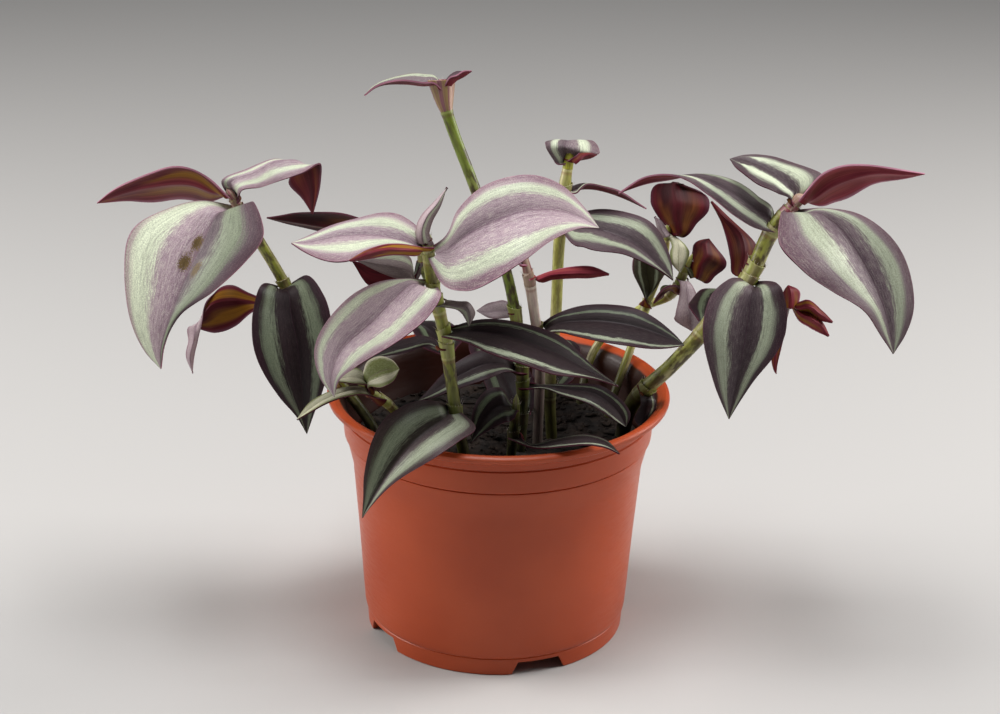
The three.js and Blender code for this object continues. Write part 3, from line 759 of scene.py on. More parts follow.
def build_blade(stem, seat, out, blade, look, seed):
    across, along = BIG_GRID if blade["width"] > BROAD_FROM else SMALL_GRID
    rule = lofted_blade if "rows" in blade else ruled_blade
    piece = laid_grid("blade", across, along, rule(stem, seat, out, blade, seed * 0.37 % 1))
    c = np.tile(np.linspace(-1, 1, across + 1), along + 1)
    t = np.repeat(np.linspace(0, 1, along + 1), across + 1)
    colour_blade(piece, c, t, blade, look, seed)
    for material in (leaf_upper, leaf_under):
        piece.data.materials.append(material)
    wall = piece.modifiers.new("thickness", "SOLIDIFY")
    wall.thickness = LEAF_THICKNESS * MM
    wall.offset = -1
    wall.material_offset = 1
    wall.material_offset_rim = 1
    select(piece)
    bpy.ops.object.modifier_apply(modifier=wall.name)
    return piece


# %% [markdown]
# The sheath is a short, thin tube that grows out of the node, hugs the stem and opens in an oblique
# mouth, higher on the leaf's side. Its mouth carries a fringe of soft hairs. In a growing tip the
# last sheath closes over the bud in a blunt point, and on the tallest stem it flares like a funnel.

# %% Sheaths and their hairs
SHEATH_SIDES, SHEATH_ROWS = 24, 12
HAIRS, HAIR_LENGTH, HAIR_RADIUS = 16, 1.5, 0.045  # how many, and their size in mm
HAIR_RING, WIDE_RING = 0.45, 3.4  # mm that the fringe stands off the stem, also in the funnel
# Each line goes up the outside and, where the sheath is open, down the inside again. It has the
# share of the sheath's length, and the distance from the stem in mm. In the closed one that is
# given in radii of the stem.
HUGGING = [(0, -0.15), (0.04, 0.12), (0.25, 0.24), (0.6, 0.30), (0.9, 0.44), (1.0, 0.56), (1.02, 0.46),
           (0.98, 0.30), (0.8, 0.12), (0.4, 0.0), (0.1, -0.15), (0.02, -0.3), (0, -0.3)]
CLOSED = [(0, -0.15), (0.06, 0.15), (0.4, 0.28), (0.9, 0.32), (1.15, 0.1), (1.35, -0.3), (1.5, -0.62),
          (1.58, -0.85)] + 5 * [(1.62, -1.05)]
FUNNEL = [(0, -0.15), (0.04, 0.1), (0.22, 0.8), (0.45, 1.75), (0.7, 2.7), (0.9, 3.35), (1.0, 3.6),
          (1.01, 3.45), (0.9, 2.95), (0.68, 2.2), (0.4, 1.1), (0.2, 0.2), (0.1, -0.3)]


def build_sheath(stem, start, end, out, seed, form, material):
    length = (end - start) * SEGMENT
    height, proud = np.array(form).T

    def place(u, v):
        row = np.rint(v * SHEATH_ROWS).astype(int)
        angle = 2 * math.pi * u
        slant = 0.16 if form is HUGGING else 0.05
        high = height[row] * (1 + slant * np.cos(angle))
        where = start + (end - start) * high
        axes = stem.axis(where)
        across = unit(out - axes * np.sum(axes * out, axis=1, keepdims=True))
        clasp = np.cross(across, axes)
        thick = stem.thickness(where)
        folds = 0.02 * np.sin(9 * angle) * height[row]
        radius = np.maximum(thick + proud[row] * (thick if form is CLOSED else 1) + folds, 0.02)
        outward = across * np.cos(angle)[:, None] + clasp * np.sin(angle)[:, None]
        return stem.point(where) + outward * radius[:, None]

    piece = laid_grid("sheath", SHEATH_SIDES, SHEATH_ROWS, place)
    fine, long = (2.2, 0.3) if form is FUNNEL else (1.0, 1.0)
    scale_uv(piece.data, fine, length / 10 * long)
    give(piece, "node", 0.0)
    give(piece, "seed", seed)
    weld(piece, 0.03)
    piece.data.materials.append(material)
    return piece


# %% A fringe of hairs
def build_hairs(stem, end, out, seed, flare):
    chance = np.random.default_rng(int(seed * 100) + 7)
    start_clean()
    bpy.ops.mesh.primitive_cone_add(
        vertices=3, radius1=HAIR_RADIUS * MM, radius2=0, depth=HAIR_LENGTH * MM)
    master = bpy.context.object
    axis = stem.axis(end)
    clasp = np.cross(out, axis)
    places = []
    for i in range(HAIRS):
        angle = 2 * math.pi * (i + chance.uniform(-0.3, 0.3)) / HAIRS
        outward = out * math.cos(angle) + clasp * math.sin(angle)
        root = stem.point(end) + axis * 0.3 * math.cos(angle) + outward * (stem.thickness(end) + flare)
        lean = unit(axis + outward * chance.uniform(0.2, 0.9) + clasp * chance.uniform(-0.3, 0.3))
        turn = Vector(lean).to_track_quat("Z", "Y").to_matrix().to_4x4()
        long = chance.uniform(0.6, 1.2)
        lifted = Matrix.Translation(Vector(root + lean * HAIR_LENGTH * long * 0.5) * MM)
        places.append(lifted @ turn @ Matrix.Diagonal((1, 1, long, 1)))
    return copies(master, places, "hairs", hair_white)


def copies(master, places, name, material):
    """One mesh with a copy of the master at each place. The master itself is removed."""
    mesh = master.data
    points = np.array([v.co for v in mesh.vertices])
    faces = [tuple(f.vertices) for f in mesh.polygons]
    made, corners = [], []
    for number, place in enumerate(places):
        matrix = np.array(place)
        made.append(points @ matrix[:3, :3].T + matrix[:3, 3])
        corners += [tuple(i + number * len(points) for i in face) for face in faces]
    new = bpy.data.meshes.new(name)
    new.from_pydata(np.vstack(made).tolist(), [], corners)
    new.materials.append(material)
    bpy.data.objects.remove(master)
    piece = bpy.data.objects.new(name, new)
    bpy.context.scene.collection.objects.link(piece)
    return piece


# %% [markdown]
# Now the leaves. Most of them bend, fold or curl in a way of their own, so each has its cross rows
# here, from its base to its tip: the point on the left margin, that on the midrib and that on the
# right margin. At the tip all three are one point. The places are in millimetres in the frame of
# the CAD model. They start from points that were read off the photo, but a program worked them out
# into this table. So this long table isn't an example of how to keep such numbers.

# %% Cross rows of the leaves
ROWS = {
    "a_hanging": [
        ((-82, -19.5, 162), (-94.5, -18.5, 157.5), (-100.5, -13.5, 160.5)),
        ((-78, -30.5, 155.5), (-98, -23.5, 151.5), (-112, -13.5, 157.5)),
        ((-84, -36, 147), (-102, -28, 143.5), (-123, -15.5, 150.5)),
        ((-94, -37.5, 137), (-106.5, -31, 133.5), (-126, -21, 137)),
        ((-106, -34.5, 127), (-110.5, -32.5, 123), (-124, -25.5, 122.5)),
        ((-111.5, -33, 116), (-113, -32, 114), (-119, -28.5, 112)),
        ((-113.5, -31, 106.5),) * 3,
    ],
    "a_left": [
        ((-96, -13, 167), (-97.5, -9.5, 162.5), (-99, -0.5, 156)),
        ((-101, -14.5, 171.5), (-103, -8, 164), (-106, 9.5, 153)),
        ((-118, -8, 168), (-119, -2.5, 161.5), (-121, 9.5, 152.5)),
        ((-134, 3.5, 157), (-134, 5, 155), (-134.5, 8, 152.5)),
        ((-139, 8, 152),) * 3,
    ],
    "a_right": [
        ((-93.5, -13, 167), (-90.5, -13, 166.5), (-86.5, -16, 165)),
        ((-86, -7, 169.5), (-83, -9, 169), (-80.5, -12, 165)),
        ((-75.5, 3, 170.5), (-76, -2, 171), (-75, -8, 166)),
        ((-71.5, 7, 165), (-69, 1, 170.5), (-67, -5, 168)),
        ((-73, 9, 159.5), (-65.5, 4, 166), (-61.5, 0, 170)),
        ((-68.5, 8, 155), (-64.5, 5, 159.5), (-61.5, 3, 162.5)),
        ((-64.5, 5, 150),) * 3,
    ],
    "a_curled": [
        ((-87, -2, 123.5), (-87, -6, 121.5), (-85, -8, 118.5)),
        ((-92, -2, 126), (-92, -8, 122.5), (-90, -8, 114)),
        ((-97.5, -4, 124.5), (-98.5, -10, 121.5), (-96.5, -9, 111.5)),
        ((-101, -10, 121.5), (-101.5, -11, 118), (-100.5, -9, 112)),
        ((-101.5, -12, 117.5), (-103, -11, 116), (-105, -9, 113.5)),
        ((-103.5, -10, 108.5), (-105, -11, 108.5), (-107, -9, 107.5)),
        ((-105, -9, 102.5), (-106.5, -10, 102.5), (-108, -9, 102.5)),
        ((-106, -8, 95.5),) * 3,
    ],
    "a_lower": [
        ((-66, -10.5, 133.5), (-72, -12.5, 128), (-80, -12.5, 131)),
        ((-59.5, -17.5, 129), (-70.5, -18, 122), (-83, -19.5, 125)),
        ((-56.5, -23, 121), (-68.5, -22, 114.5), (-83, -26.5, 116.5)),
        ((-59.5, -27, 98), (-66.5, -25, 95), (-74, -28, 95.5)),
        ((-63, -25, 87.5), (-66, -24, 86.5), (-68.5, -25, 87)),
        ((-65.5, -22, 79.5),) * 3,
    ],
    "b_left": [
        ((-29.5, -51.5, 158.5), (-29.5, -48, 159), (-26.5, -41, 161.5)),
        ((-35.5, -56.5, 160), (-35.5, -49.5, 161), (-32, -39.5, 165)),
        ((-49, -68.5, 159.5), (-49.5, -52.5, 162.5), (-48, -46, 166)),
        ((-62.5, -60.5, 160), (-62.5, -55.5, 161), (-62.5, -53.5, 162)),
        ((-66.5, -56, 161),) * 3,
    ],
    "b_right": [
        ((-18.5, -43, 159), (-17, -45, 156), (-19.5, -51, 147)),
        ((-14, -40, 167.5), (-10.5, -44.5, 161), (-11.5, -58, 146.5)),
        ((-5.5, -36, 175), (-2, -43, 165), (-2, -59.5, 151)),
        ((7.5, -33, 177.5), (8, -41, 168), (7.5, -56.5, 156.5)),
        ((20, -32, 173.5), (18.5, -37.5, 167), (17, -48, 161)),
        ((27.5, -32, 166), (26.5, -34.5, 163.5), (25.5, -38.5, 161.5)),
        ((32, -32, 159.5),) * 3,
    ],
    "b_front": [
        ((-19, -56, 143.5), (-28.5, -50, 145.5), (-30, -48.5, 147)),
        ((-23, -60.5, 138.5), (-34, -53, 141.5), (-39, -48.5, 145.5)),
        ((-29, -63.5, 133.5), (-39.5, -55.5, 136), (-48, -49.5, 141)),
        ((-45.5, -64.5, 122.5), (-52.5, -60, 122.5), (-59.5, -57.5, 123)),
        ((-51.5, -62, 116), (-54, -61.5, 115.5), (-57, -61, 115.5)),
        ((-53, -62, 110.5),) * 3,
    ],
    "b_rim": [
        ((-7.5, -52.5, 97.5), (-17, -50, 99), (-18.5, -46.5, 102.5)),
        ((-12.5, -60, 95), (-22.5, -56, 97), (-27, -50, 104.5)),
        ((-19.5, -65.5, 92), (-28, -60.5, 93.5), (-35.5, -55, 102)),
        ((-35.5, -65, 80), (-38.5, -62.5, 79), (-43.5, -61, 83)),
        ((-41, -61.5, 72), (-42, -60.5, 71.5), (-44, -60, 73)),
        ((-44.5, -58, 65.5),) * 3,
    ],
    "b_low_right": [
        ((-10, -42.5, 130), (-9.5, -46, 128), (-11, -53, 127)),
        ((-1.5, -41, 130.5), (-1.5, -46.5, 127.5), (-3.5, -58.5, 126)),
        ((19, -38, 124), (17.5, -45.5, 121), (15, -60, 120)),
        ((35, -40.5, 111), (34.5, -42, 110.5), (34, -45, 111)),
        ((40, -40, 107),) * 3,
    ],
    "c_right": [
        ((17, -15.5, 97), (16.5, -16, 96.5), (16, -17, 96)),
        ((23, -17, 98), (21.5, -18, 96.5), (20.5, -20, 95.5)),
        ((36.5, -21.5, 98.5), (33.5, -23, 96.5), (31.5, -27, 94.5)),
        ((45, -26.5, 90), (42, -27, 90), (40.5, -28.5, 89)),
        ((43.5, -28, 87),) * 3,
    ],
    "d_lower": [
        ((18.5, -9, 120), (19.5, -12, 118), (19.5, -16, 116.5)),
        ((26, -9, 123), (26.5, -13.5, 119.5), (26, -20.5, 117)),
        ((44.5, -12, 124.5), (43, -17, 120), (42, -27, 116.5)),
        ((59, -19, 118), (58, -20.5, 116.5), (57.5, -24.5, 115)),
        ((62.5, -22, 115),) * 3,
    ],
    "e_right": [
        ((25.5, 7, 151), (25, 3.5, 148), (23, -4, 145.5)),
        ((33, 8, 152.5), (31.5, 2.5, 147.5), (28.5, -8, 144.5)),
        ((50.5, 6, 149.5), (45, -1, 143.5), (43, -7.5, 141.5)),
        ((58.5, -2.5, 137), (56, -4.5, 135), (55.5, -6, 135)),
        ((59, -6, 132.5),) * 3,
    ],
    "f_up": [
        ((96.5, -11.5, 164), (98, -8.5, 164.5), (103, -6, 165)),
        ((92.5, -13, 166), (95.5, -8, 167.5), (108, -2, 168)),
        ((84, -13.5, 170.5), (87.5, -5, 172.5), (94.5, -1.5, 174.5)),
        ((77.5, -5.5, 173.5), (79.5, -1.5, 174.5), (81, 0, 175.5)),
        ((76.5, 0, 174),) * 3,
    ],
    "f_right": [
        ((107, -4.5, 159.5), (105, -9, 164), (102, -12, 168)),
        ((113, -1.5, 160), (109.5, -9, 167.5), (105.5, -13.5, 173.5)),
        ((125, -3, 167), (122.5, -10.5, 173), (120.5, -13.5, 177)),
        ((136.5, -11, 172.5), (136, -13, 174), (135.5, -13.5, 175)),
        ((140, -14, 174.5),) * 3,
    ],
    "f_hanging": [
        ((108, -16, 162.5), (105, -17, 161), (92, -21.5, 161)),
        ((118, -19, 162), (112, -21.5, 157.5), (90.5, -37, 156.5)),
        ((127.5, -22.5, 156), (117.5, -26, 151), (97.5, -43.5, 150.5)),
        ((135, -26, 146), (123, -29.5, 142), (108.5, -42, 142.5)),
        ((137.5, -29, 133), (127.5, -31.5, 132), (120, -38, 134)),
        ((135, -31, 123.5), (130, -32, 123.5), (126.5, -35, 124.5)),
        ((131.5, -32, 117),) * 3,
    ],
    "f_left": [
        ((88, -13, 153), (90.5, -10, 155.5), (92, -6, 156.5)),
        ((79, -13, 157.5), (84, -8, 160), (86.5, -2, 161.5)),
        ((69, -12, 165), (74, -7, 166), (77.5, 0, 167)),
        ((62, -10, 169.5), (64.5, -6, 169.5), (67, 0, 168.5)),
        ((55.5, -9, 171), (56, -6, 169.5), (57.5, -1, 167)),
        ((48, -8.5, 170), (48.5, -7, 169), (49.5, -4, 166.5)),
        ((39, -8, 164),) * 3,
    ],
    "f_front": [
        ((92, -19, 137), (84.5, -19.5, 133.5), (77, -19, 138)),
        ((95.5, -24.5, 131.5), (83.5, -23.5, 128), (71, -23.5, 134.5)),
        ((95.5, -29.5, 123.5), (82.5, -26.5, 121), (68, -28.5, 127)),
        ((85, -30.5, 104.5), (80, -28.5, 103.5), (72, -30.5, 105.5)),
        ((81, -28.5, 96), (79, -27.5, 95.5), (75.5, -28.5, 96.5)),
        ((78.5, -26, 89.5),) * 3,
    ],
    "f_behind": [
        ((85, 2, 131.5), (82.5, -1, 133), (80.5, 2, 132)),
        ((88, 5, 137.5), (83.5, 0, 141), (79, 3, 137.5)),
        ((88, 6, 140.5), (82.5, 3, 145), (78, 5, 142)),
        ((77.5, 9, 150.5), (75.5, 8, 151.5), (75, 9, 150.5)),
        ((72, 10, 155.5),) * 3,
    ],
    "g_cup": [
        ((65, 38, 133), (63, 37, 134), (61, 40, 133.5)),
        ((70, 39, 138), (62.5, 35, 140.5), (56, 41, 140)),
        ((74, 41, 142.5), (62, 35, 146.5), (53.5, 42, 145)),
        ((70.5, 42, 149), (62, 39, 152.5), (57.5, 41, 152)),
        ((64.5, 38, 152.5),) * 3,
    ],
    "g_pale": [
        ((66.5, 35, 130), (63.5, 34, 130.5), (61, 35, 130)),
        ((67.5, 35, 128), (63.5, 33, 128.5), (60.5, 35, 128)),
        ((66.5, 34, 124.5), (63.5, 32, 125.5), (61, 34, 124.5)),
        ((64, 33, 121),) * 3,
    ],
    "g_roll": [
        ((58, 36, 133), (59, 34, 134), (60.5, 36, 134)),
        ((56, 36, 135.5), (57, 34, 137), (59, 36, 136.5)),
        ((55, 36, 138.5), (55.5, 34, 139.5), (57, 36, 139.5)),
        ((54.5, 36, 141),) * 3,
    ],
    "j_right": [
        ((73.5, 38, 116), (70.5, 36, 118), (68.5, 38, 117)),
        ((77.5, 38, 118.5), (72, 34, 123.5), (68.5, 38, 122)),
        ((81, 38, 122.5), (73.5, 33, 127.5), (69, 38, 127)),
        ((76.5, 38, 129.5), (73.5, 37, 131.5), (71.5, 38, 131.5)),
        ((74.5, 38, 132),) * 3,
    ],
    "j_hanging": [
        ((69, 31, 116.5), (66.5, 29, 118), (64.5, 31, 116)),
        ((71, 31, 112.5), (67, 27, 113.5), (64, 30, 112)),
        ((73, 30, 107), (68, 26, 108), (63, 29, 106.5)),
        ((73.5, 30, 103), (68.5, 27, 103.5), (63.5, 29, 103.5)),
        ((69, 28, 100.5),) * 3,
    ],
    "b_young": [
        ((-26.5, -43, 157), (-24.5, -47, 158), (-22.5, -45, 157)),
        ((-27.5, -44, 162), (-25.5, -48, 163), (-23, -46, 161.5)),
        ((-26, -44, 166.5), (-24, -48, 167.5), (-22, -46, 165.5)),
        ((-22, -45, 171.5), (-20.5, -47, 172), (-19.5, -46, 170.5)),
        ((-17.5, -46, 177),) * 3,
    ],
    "c_long": [
        ((-22.5, -4, 199.5), (-22, -1, 198), (-22.5, 4, 199.5)),
        ((-27, -4, 200), (-27, -1, 198), (-27, 4, 200.5)),
        ((-33, -4, 200.5), (-32.5, -1, 198.5), (-32.5, 3.5, 200.5)),
        ((-43, -2, 197.5), (-43, -1, 197), (-43.5, 0.5, 197)),
        ((-46.5, -2, 194.5),) * 3,
    ],
    "c_short": [
        ((-19, 4, 199.5), (-17.5, -1, 198.5), (-18.5, -3, 201)),
        ((-16, 4, 201.5), (-15.5, 0, 200), (-16, -2, 202)),
        ((-13.5, 3, 202), (-13.5, 0.5, 201), (-14, -1, 203)),
        ((-11, 2, 202.5),) * 3,
    ],
    "d_right": [
        ((13, -7, 131.5), (12.5, -8, 132.5), (12.5, -6, 132.5)),
        ((17.5, -6, 132), (17, -8, 134), (17, -5, 134)),
        ((25, -4, 132), (24.5, -7, 134.5), (24.5, -4, 135.5)),
        ((30.5, -2, 131.5), (31, -5, 134), (31, -3, 135.5)),
        ((37, -3, 133),) * 3,
    ],
    "e_cup": [
        ((19.5, 7, 169), (22, 11, 168), (24.5, 9, 170)),
        ((16.5, 7, 171.5), (21.5, 8, 172.5), (30, 9, 172)),
        ((14.5, 8, 175), (21, 6.5, 175), (33, 10, 172)),
        ((17, 13.5, 175.5), (22, 11.5, 176), (30, 15, 175)),
        ((23.5, 14, 174.5),) * 3,
    ],
    "e_under": [
        ((24, 7, 170.5), (25, 5, 170), (24.5, 6, 172)),
        ((27, 8, 170.5), (27.5, 6, 172), (26.5, 8, 172.5)),
        ((30.5, 9, 171), (29.5, 8, 172), (29, 9, 172.5)),
        ((32, 10, 171.5),) * 3,
    ],
    "l_lobe": [
        ((-44.5, -45, 113), (-42.5, -48, 111.5), (-41.5, -50, 109.5)),
        ((-43.5, -43, 115.5), (-40.5, -48, 113), (-39, -52, 110)),
        ((-39, -42, 117), (-37.5, -48, 114.5), (-36, -53, 111.5)),
        ((-35, -44, 116.5), (-35, -48, 115), (-34, -52, 113)),
        ((-32.5, -49, 115.5),) * 3,
    ],
    "l_white": [
        ((-45, -50, 110.5), (-45.5, -47, 111), (-45.5, -44, 113)),
        ((-48.5, -51, 111), (-49, -48, 112), (-48.5, -44, 113.5)),
        ((-51.5, -50, 111), (-51.5, -48, 111.5), (-51, -46, 113)),
        ((-53.5, -49, 111),) * 3,
    ],
    "l_left": [
        ((-46.5, -52, 107.5), (-46.5, -48, 107.5), (-46.5, -46, 108)),
        ((-51.5, -55, 107.5), (-51.5, -51, 107.5), (-51.5, -49, 108.5)),
        ((-57.5, -57, 105.5), (-57.5, -53, 105.5), (-57.5, -51, 107)),
        ((-62.5, -56, 102), (-62.5, -54, 102), (-62.5, -53, 104)),
        ((-66, -54, 99),) * 3,
    ],
    "h_rim": [
        ((12, -47, 88.5), (12.5, -50, 89), (12.5, -53, 90)),
        ((20.5, -48, 91.5), (21, -53, 92.5), (22, -57, 92.5)),
        ((30, -50, 93.5), (30.5, -55, 94.5), (31, -59, 94)),
        ((36, -54, 93.5), (36, -57, 93.5), (35.5, -59.5, 93.5)),
        ((40, -60, 91.5),) * 3,
    ],
    "b_low_left": [
        ((-23, -39, 119.5), (-23, -38, 121), (-23.5, -35, 121.5)),
        ((-29.5, -40, 118), (-30, -38, 119.5), (-30.5, -34, 120.5)),
        ((-37, -38, 115.5), (-37.5, -37, 117), (-37.5, -34, 118)),
        ((-43, -35, 113.5),) * 3,
    ],
    "c_left": [
        ((2.5, -18, 102.5), (2, -14.5, 103.5), (2.5, -11.5, 105.5)),
        ((-2, -23, 102.5), (-3, -17.5, 105), (-3, -13, 108.5)),
        ((-13, -27, 100), (-14.5, -23, 102), (-15.5, -20, 105.5)),
        ((-23.5, -27.5, 96), (-24, -26.5, 97), (-24.5, -25.5, 97.5)),
        ((-27, -27, 95),) * 3,
    ],
    "shoot_bud": [
        ((100.5, -11, 125.5), (98.5, -14, 126), (97, -11, 125.5)),
        ((101.5, -10, 127.5), (98.5, -15, 129.5), (96.5, -10, 127.5)),
        ((101, -10.5, 131), (98, -14, 132.5), (96.5, -10.5, 130.5)),
        ((97.5, -12, 133),) * 3,
    ],
    "shoot_up": [
        ((101.5, -11, 124), (101, -14, 126), (101, -11, 126.5)),
        ((104.5, -11, 123.5), (104.5, -15, 127), (104.5, -11, 127.5)),
        ((107.5, -12, 121.5), (108.5, -14, 124), (109, -12, 124.5)),
        ((113, -14, 121),) * 3,
    ],
    "shoot_low": [
        ((102, -12, 121), (102, -14, 124), (101.5, -12, 124)),
        ((105, -12, 119), (105.5, -15, 122.5), (106, -12, 123)),
        ((108, -13, 117.5), (109, -14.5, 120), (109.5, -13, 120.5)),
        ((112, -14, 116),) * 3,
    ],
    "g_folded": [
        ((50, 32, 115.5), (53.5, 34, 114), (56.5, 32, 116.5)),
        ((47.5, 31, 121.5), (52.5, 35, 119), (59, 32, 122)),
        ((47.5, 32, 126), (52, 36, 123.5), (58.5, 33, 126)),
        ((49, 34, 128), (52, 37, 127), (56, 35, 128)),
        ((51.5, 37, 129),) * 3,
    ],
    "b_bud": [
        ((-13.5, -45, 138), (-14, -47, 137), (-14.5, -46, 135.5)),
        ((-10, -46, 138), (-10.5, -48, 137), (-12.5, -47, 134.5)),
        ((-8, -46, 134.5), (-9.5, -48, 134), (-11.5, -47, 133)),
        ((-10, -47, 130),) * 3,
    ],
    "f_inner": [
        ((54, -14, 91.5), (51.5, -16, 92.5), (49, -15, 91.5)),
        ((54.5, -14, 88), (51, -17, 89), (48, -16, 88)),
        ((53, -16, 85.5), (50, -18, 85.5), (47, -17, 85)),
        ((49, -19, 83),) * 3,
    ],
    "c_pale": [
        ((3, -7, 118), (3, -5, 119.5), (2.5, -2, 122)),
        ((-1, -8, 118), (-1.5, -5, 119.5), (-1.5, -2, 122)),
        ((-4.5, -7, 118), (-5, -6, 119.5), (-5, -4, 121.5)),
        ((-8, -6, 120),) * 3,
    ],
    "b_left_fold": [
        ((-26.5, -52, 159), (-26.5, -53, 158), (-26.5, -51, 156)),
        ((-32, -59, 162), (-31.5, -61, 161), (-31.5, -58, 158.5)),
        ((-37.5, -65, 163.5), (-36.5, -67, 163), (-36, -63, 160)),
        ((-42, -70, 163.5), (-41.5, -71, 163), (-41.5, -68, 160.5)),
        ((-47, -69, 160),) * 3,
    ],
    "k_front": [
        ((-29, -9, 130.5), (-29, -9, 131.5), (-29, -9, 132.5)),
        ((-31.5, -12, 132.5), (-31, -14, 137), (-30.5, -12, 141)),
        ((-36.5, -14, 134.5), (-36.5, -17, 139.5), (-36, -14, 144.5)),
        ((-42.5, -14, 137), (-42.5, -16, 140), (-41.5, -14, 144)),
        ((-50, -14, 141),) * 3,
    ],
    "k_under": [
        ((-31, -9, 132.5), (-31, -9, 131), (-30.5, -9, 129.5)),
        ((-37, -9, 135.5), (-37, -9, 133), (-37, -9, 130)),
        ((-43.5, -9, 137), (-44, -9, 133.5), (-44.5, -9, 129.5)),
        ((-50.5, -9, 138.5),) * 3,
    ],
}

# %% [markdown]
# On one plant the leaves differ: some are pale mauve with bright bands, some are nearly black, and
# some of the small ones are cream, green or red. So each leaf has a look, a short list of values
# that are written on its mesh. The same two materials then serve them all. The look named shade is
# painted shade: it makes leaves that lie behind and low in the plant, in its shadow, black.

# %% The looks of the leaves
def pair(value):
    """A value for each half of the leaf, left and right, from one number or two."""
    return np.array(value if isinstance(value, tuple) else (value, value), float)


def look_of(light, place=0.52, spread=0.15, ground=None, glow=0.3, rose=0.0, fresh=0.0, bare=0.0):
    """How light the bands are, where they lie on the halves and how wide they are, how pale the skin
    is, how much light the underside lets through and how pink it is, how green the leaf is, and how
    far the bands fade before the tip. A band whose place is well above 1 isn't seen."""
    light, place = pair(light), pair(place)
    ground = light**2 if ground is None else pair(ground)
    return dict(light=light, place=place, spread=spread, ground=ground, glow=glow, rose=rose, fresh=fresh,
                bare=bare)


LOOKS = {
    "silver": look_of(0.86, glow=0.4, ground=0.78, rose=0.1),
    # painted shade: the left half, which faces away from the left lamp, gets dull bands and dark skin
    "scarred_half_shaded": look_of((0.24, 0.92), (0.46, 0.70), 0.18, ground=(0.24, 0.84), glow=0.1, rose=0.3),
    "wide": look_of(0.92, (0.62, 0.66), 0.13, glow=0.4, ground=0.90),
    "front": look_of(1.0, (0.62, 0.72), 0.12, ground=1.0),
    "bold": look_of(1.0, 0.50, 0.19, ground=(0.14, 0.20), bare=0.95),
    "arched": look_of((0.9, 0.40), (0.50, 0.78), 0.14, ground=(0.24, 0.16), rose=0.35),
    "mauve": look_of(0.62, (0.50, 0.46), 0.14, ground=0.38),
    "mid": look_of((0.55, 0.50), 0.56, 0.13, ground=0.18),
    "heart": look_of((0.45, 0.58), 0.55, 0.15, ground=(0.10, 0.20)),
    "dusk": look_of(0.12, (0.55, 0.60), 0.14, ground=0.02, glow=0.2),
    "rim": look_of((0.48, 0.08), (0.50, 0.45), 0.20, ground=(0.17, 0.02), fresh=0.05),
    "night": look_of((0.04, 0.48), (0.56, 0.82), 0.06, ground=(0.012, 0.03), glow=0.2),
    # painted shade: leaves behind and low in the plant, in its shadow, are painted black with faint dark
    # bands
    "shade": look_of(0.0, 0.56, 0.10, ground=0.0, glow=0.1),
    "lilac": look_of(0.72, 1.8, 0.1, glow=0.1),
    "dull": look_of((0.22, 0.16), (0.6, 1.6), 0.1, ground=0.03, glow=0.2),
    "brown": look_of((0.5, 0.3), (1.8, 0.6), 0.12, ground=(0.44, 0.38), fresh=0.12),
    "green": look_of(0.04, 0.55, 0.08, glow=0.6, fresh=0.12),
    "cream": look_of(1.0, 0.35, 0.35, fresh=1.0),
    "lobe": look_of(1.0, (0.98, 0.55), 0.19, fresh=1.0),
    "young": look_of((0.6, 0.7), (1.8, 0.3), 0.16, ground=(1.0, 0.55), fresh=0.10),
    "red": look_of(0.25, glow=1.1, rose=0.34),
    "amber": look_of(1.0, 1.8, 0.4, ground=1.0, glow=1.8, rose=0.12),
    "fold": look_of(0.5, glow=4.0, rose=0.25),
    "russet": look_of(0.2, glow=0.35, rose=0.05),
    "olive": look_of(0.0, glow=0.7, fresh=0.3),
    "maroon": look_of(0.05, glow=0.4),
    "rose": look_of(0.95, glow=0.0, rose=0.9),
    "plum": look_of(0.45, glow=0.15, rose=0.57),
    "bud": look_of(0.5, 1.8, 0.1, ground=0.75, glow=1.0, fresh=0.12, rose=0.42),
    "wine": look_of(0.0, glow=0.0),
    "tip": look_of((0.2, 0.62), (1.8, 0.84), 0.12, ground=(0.15, 0.34), glow=0.0, rose=0.25),
    "cup": look_of(0.92, (0.54, 0.60), 0.14, ground=(0.30, 0.42), rose=0.2),
}


# %% [markdown]
# Each row of the next list is one leaf: its name, the stem that it grows on, the places on that
# stem between which its sheath sits, its look and its blades. A place below nothing is counted
# back from the stem's tip. A plain blade is told by its middle, its tip, the way its upper side
# faces and its width, and a lofted one by its cross rows.

# %% The leaves
TILTED, AWAY, BACK = (0, -0.6, 0.8), (0, 0.7, 0.7), (0, 0.4, 0.9)  # ways for an upper side to face


def plain(middle, tip, face, width):
    return dict(middle=middle, tip=tip, face=face, width=width, arch=0.12, wave=0.03, scars=(), look=None)


def lofted(name, arch=0.08, width=20, scars=(), look=None):
    """A blade through its cross rows. The width in mm only chooses how fine its grid is."""
    rows = ROWS[name]
    return dict(rows=rows, middle=rows[len(rows) // 2][1], width=width, arch=arch, wave=0.03, scars=scars,
                look=look)


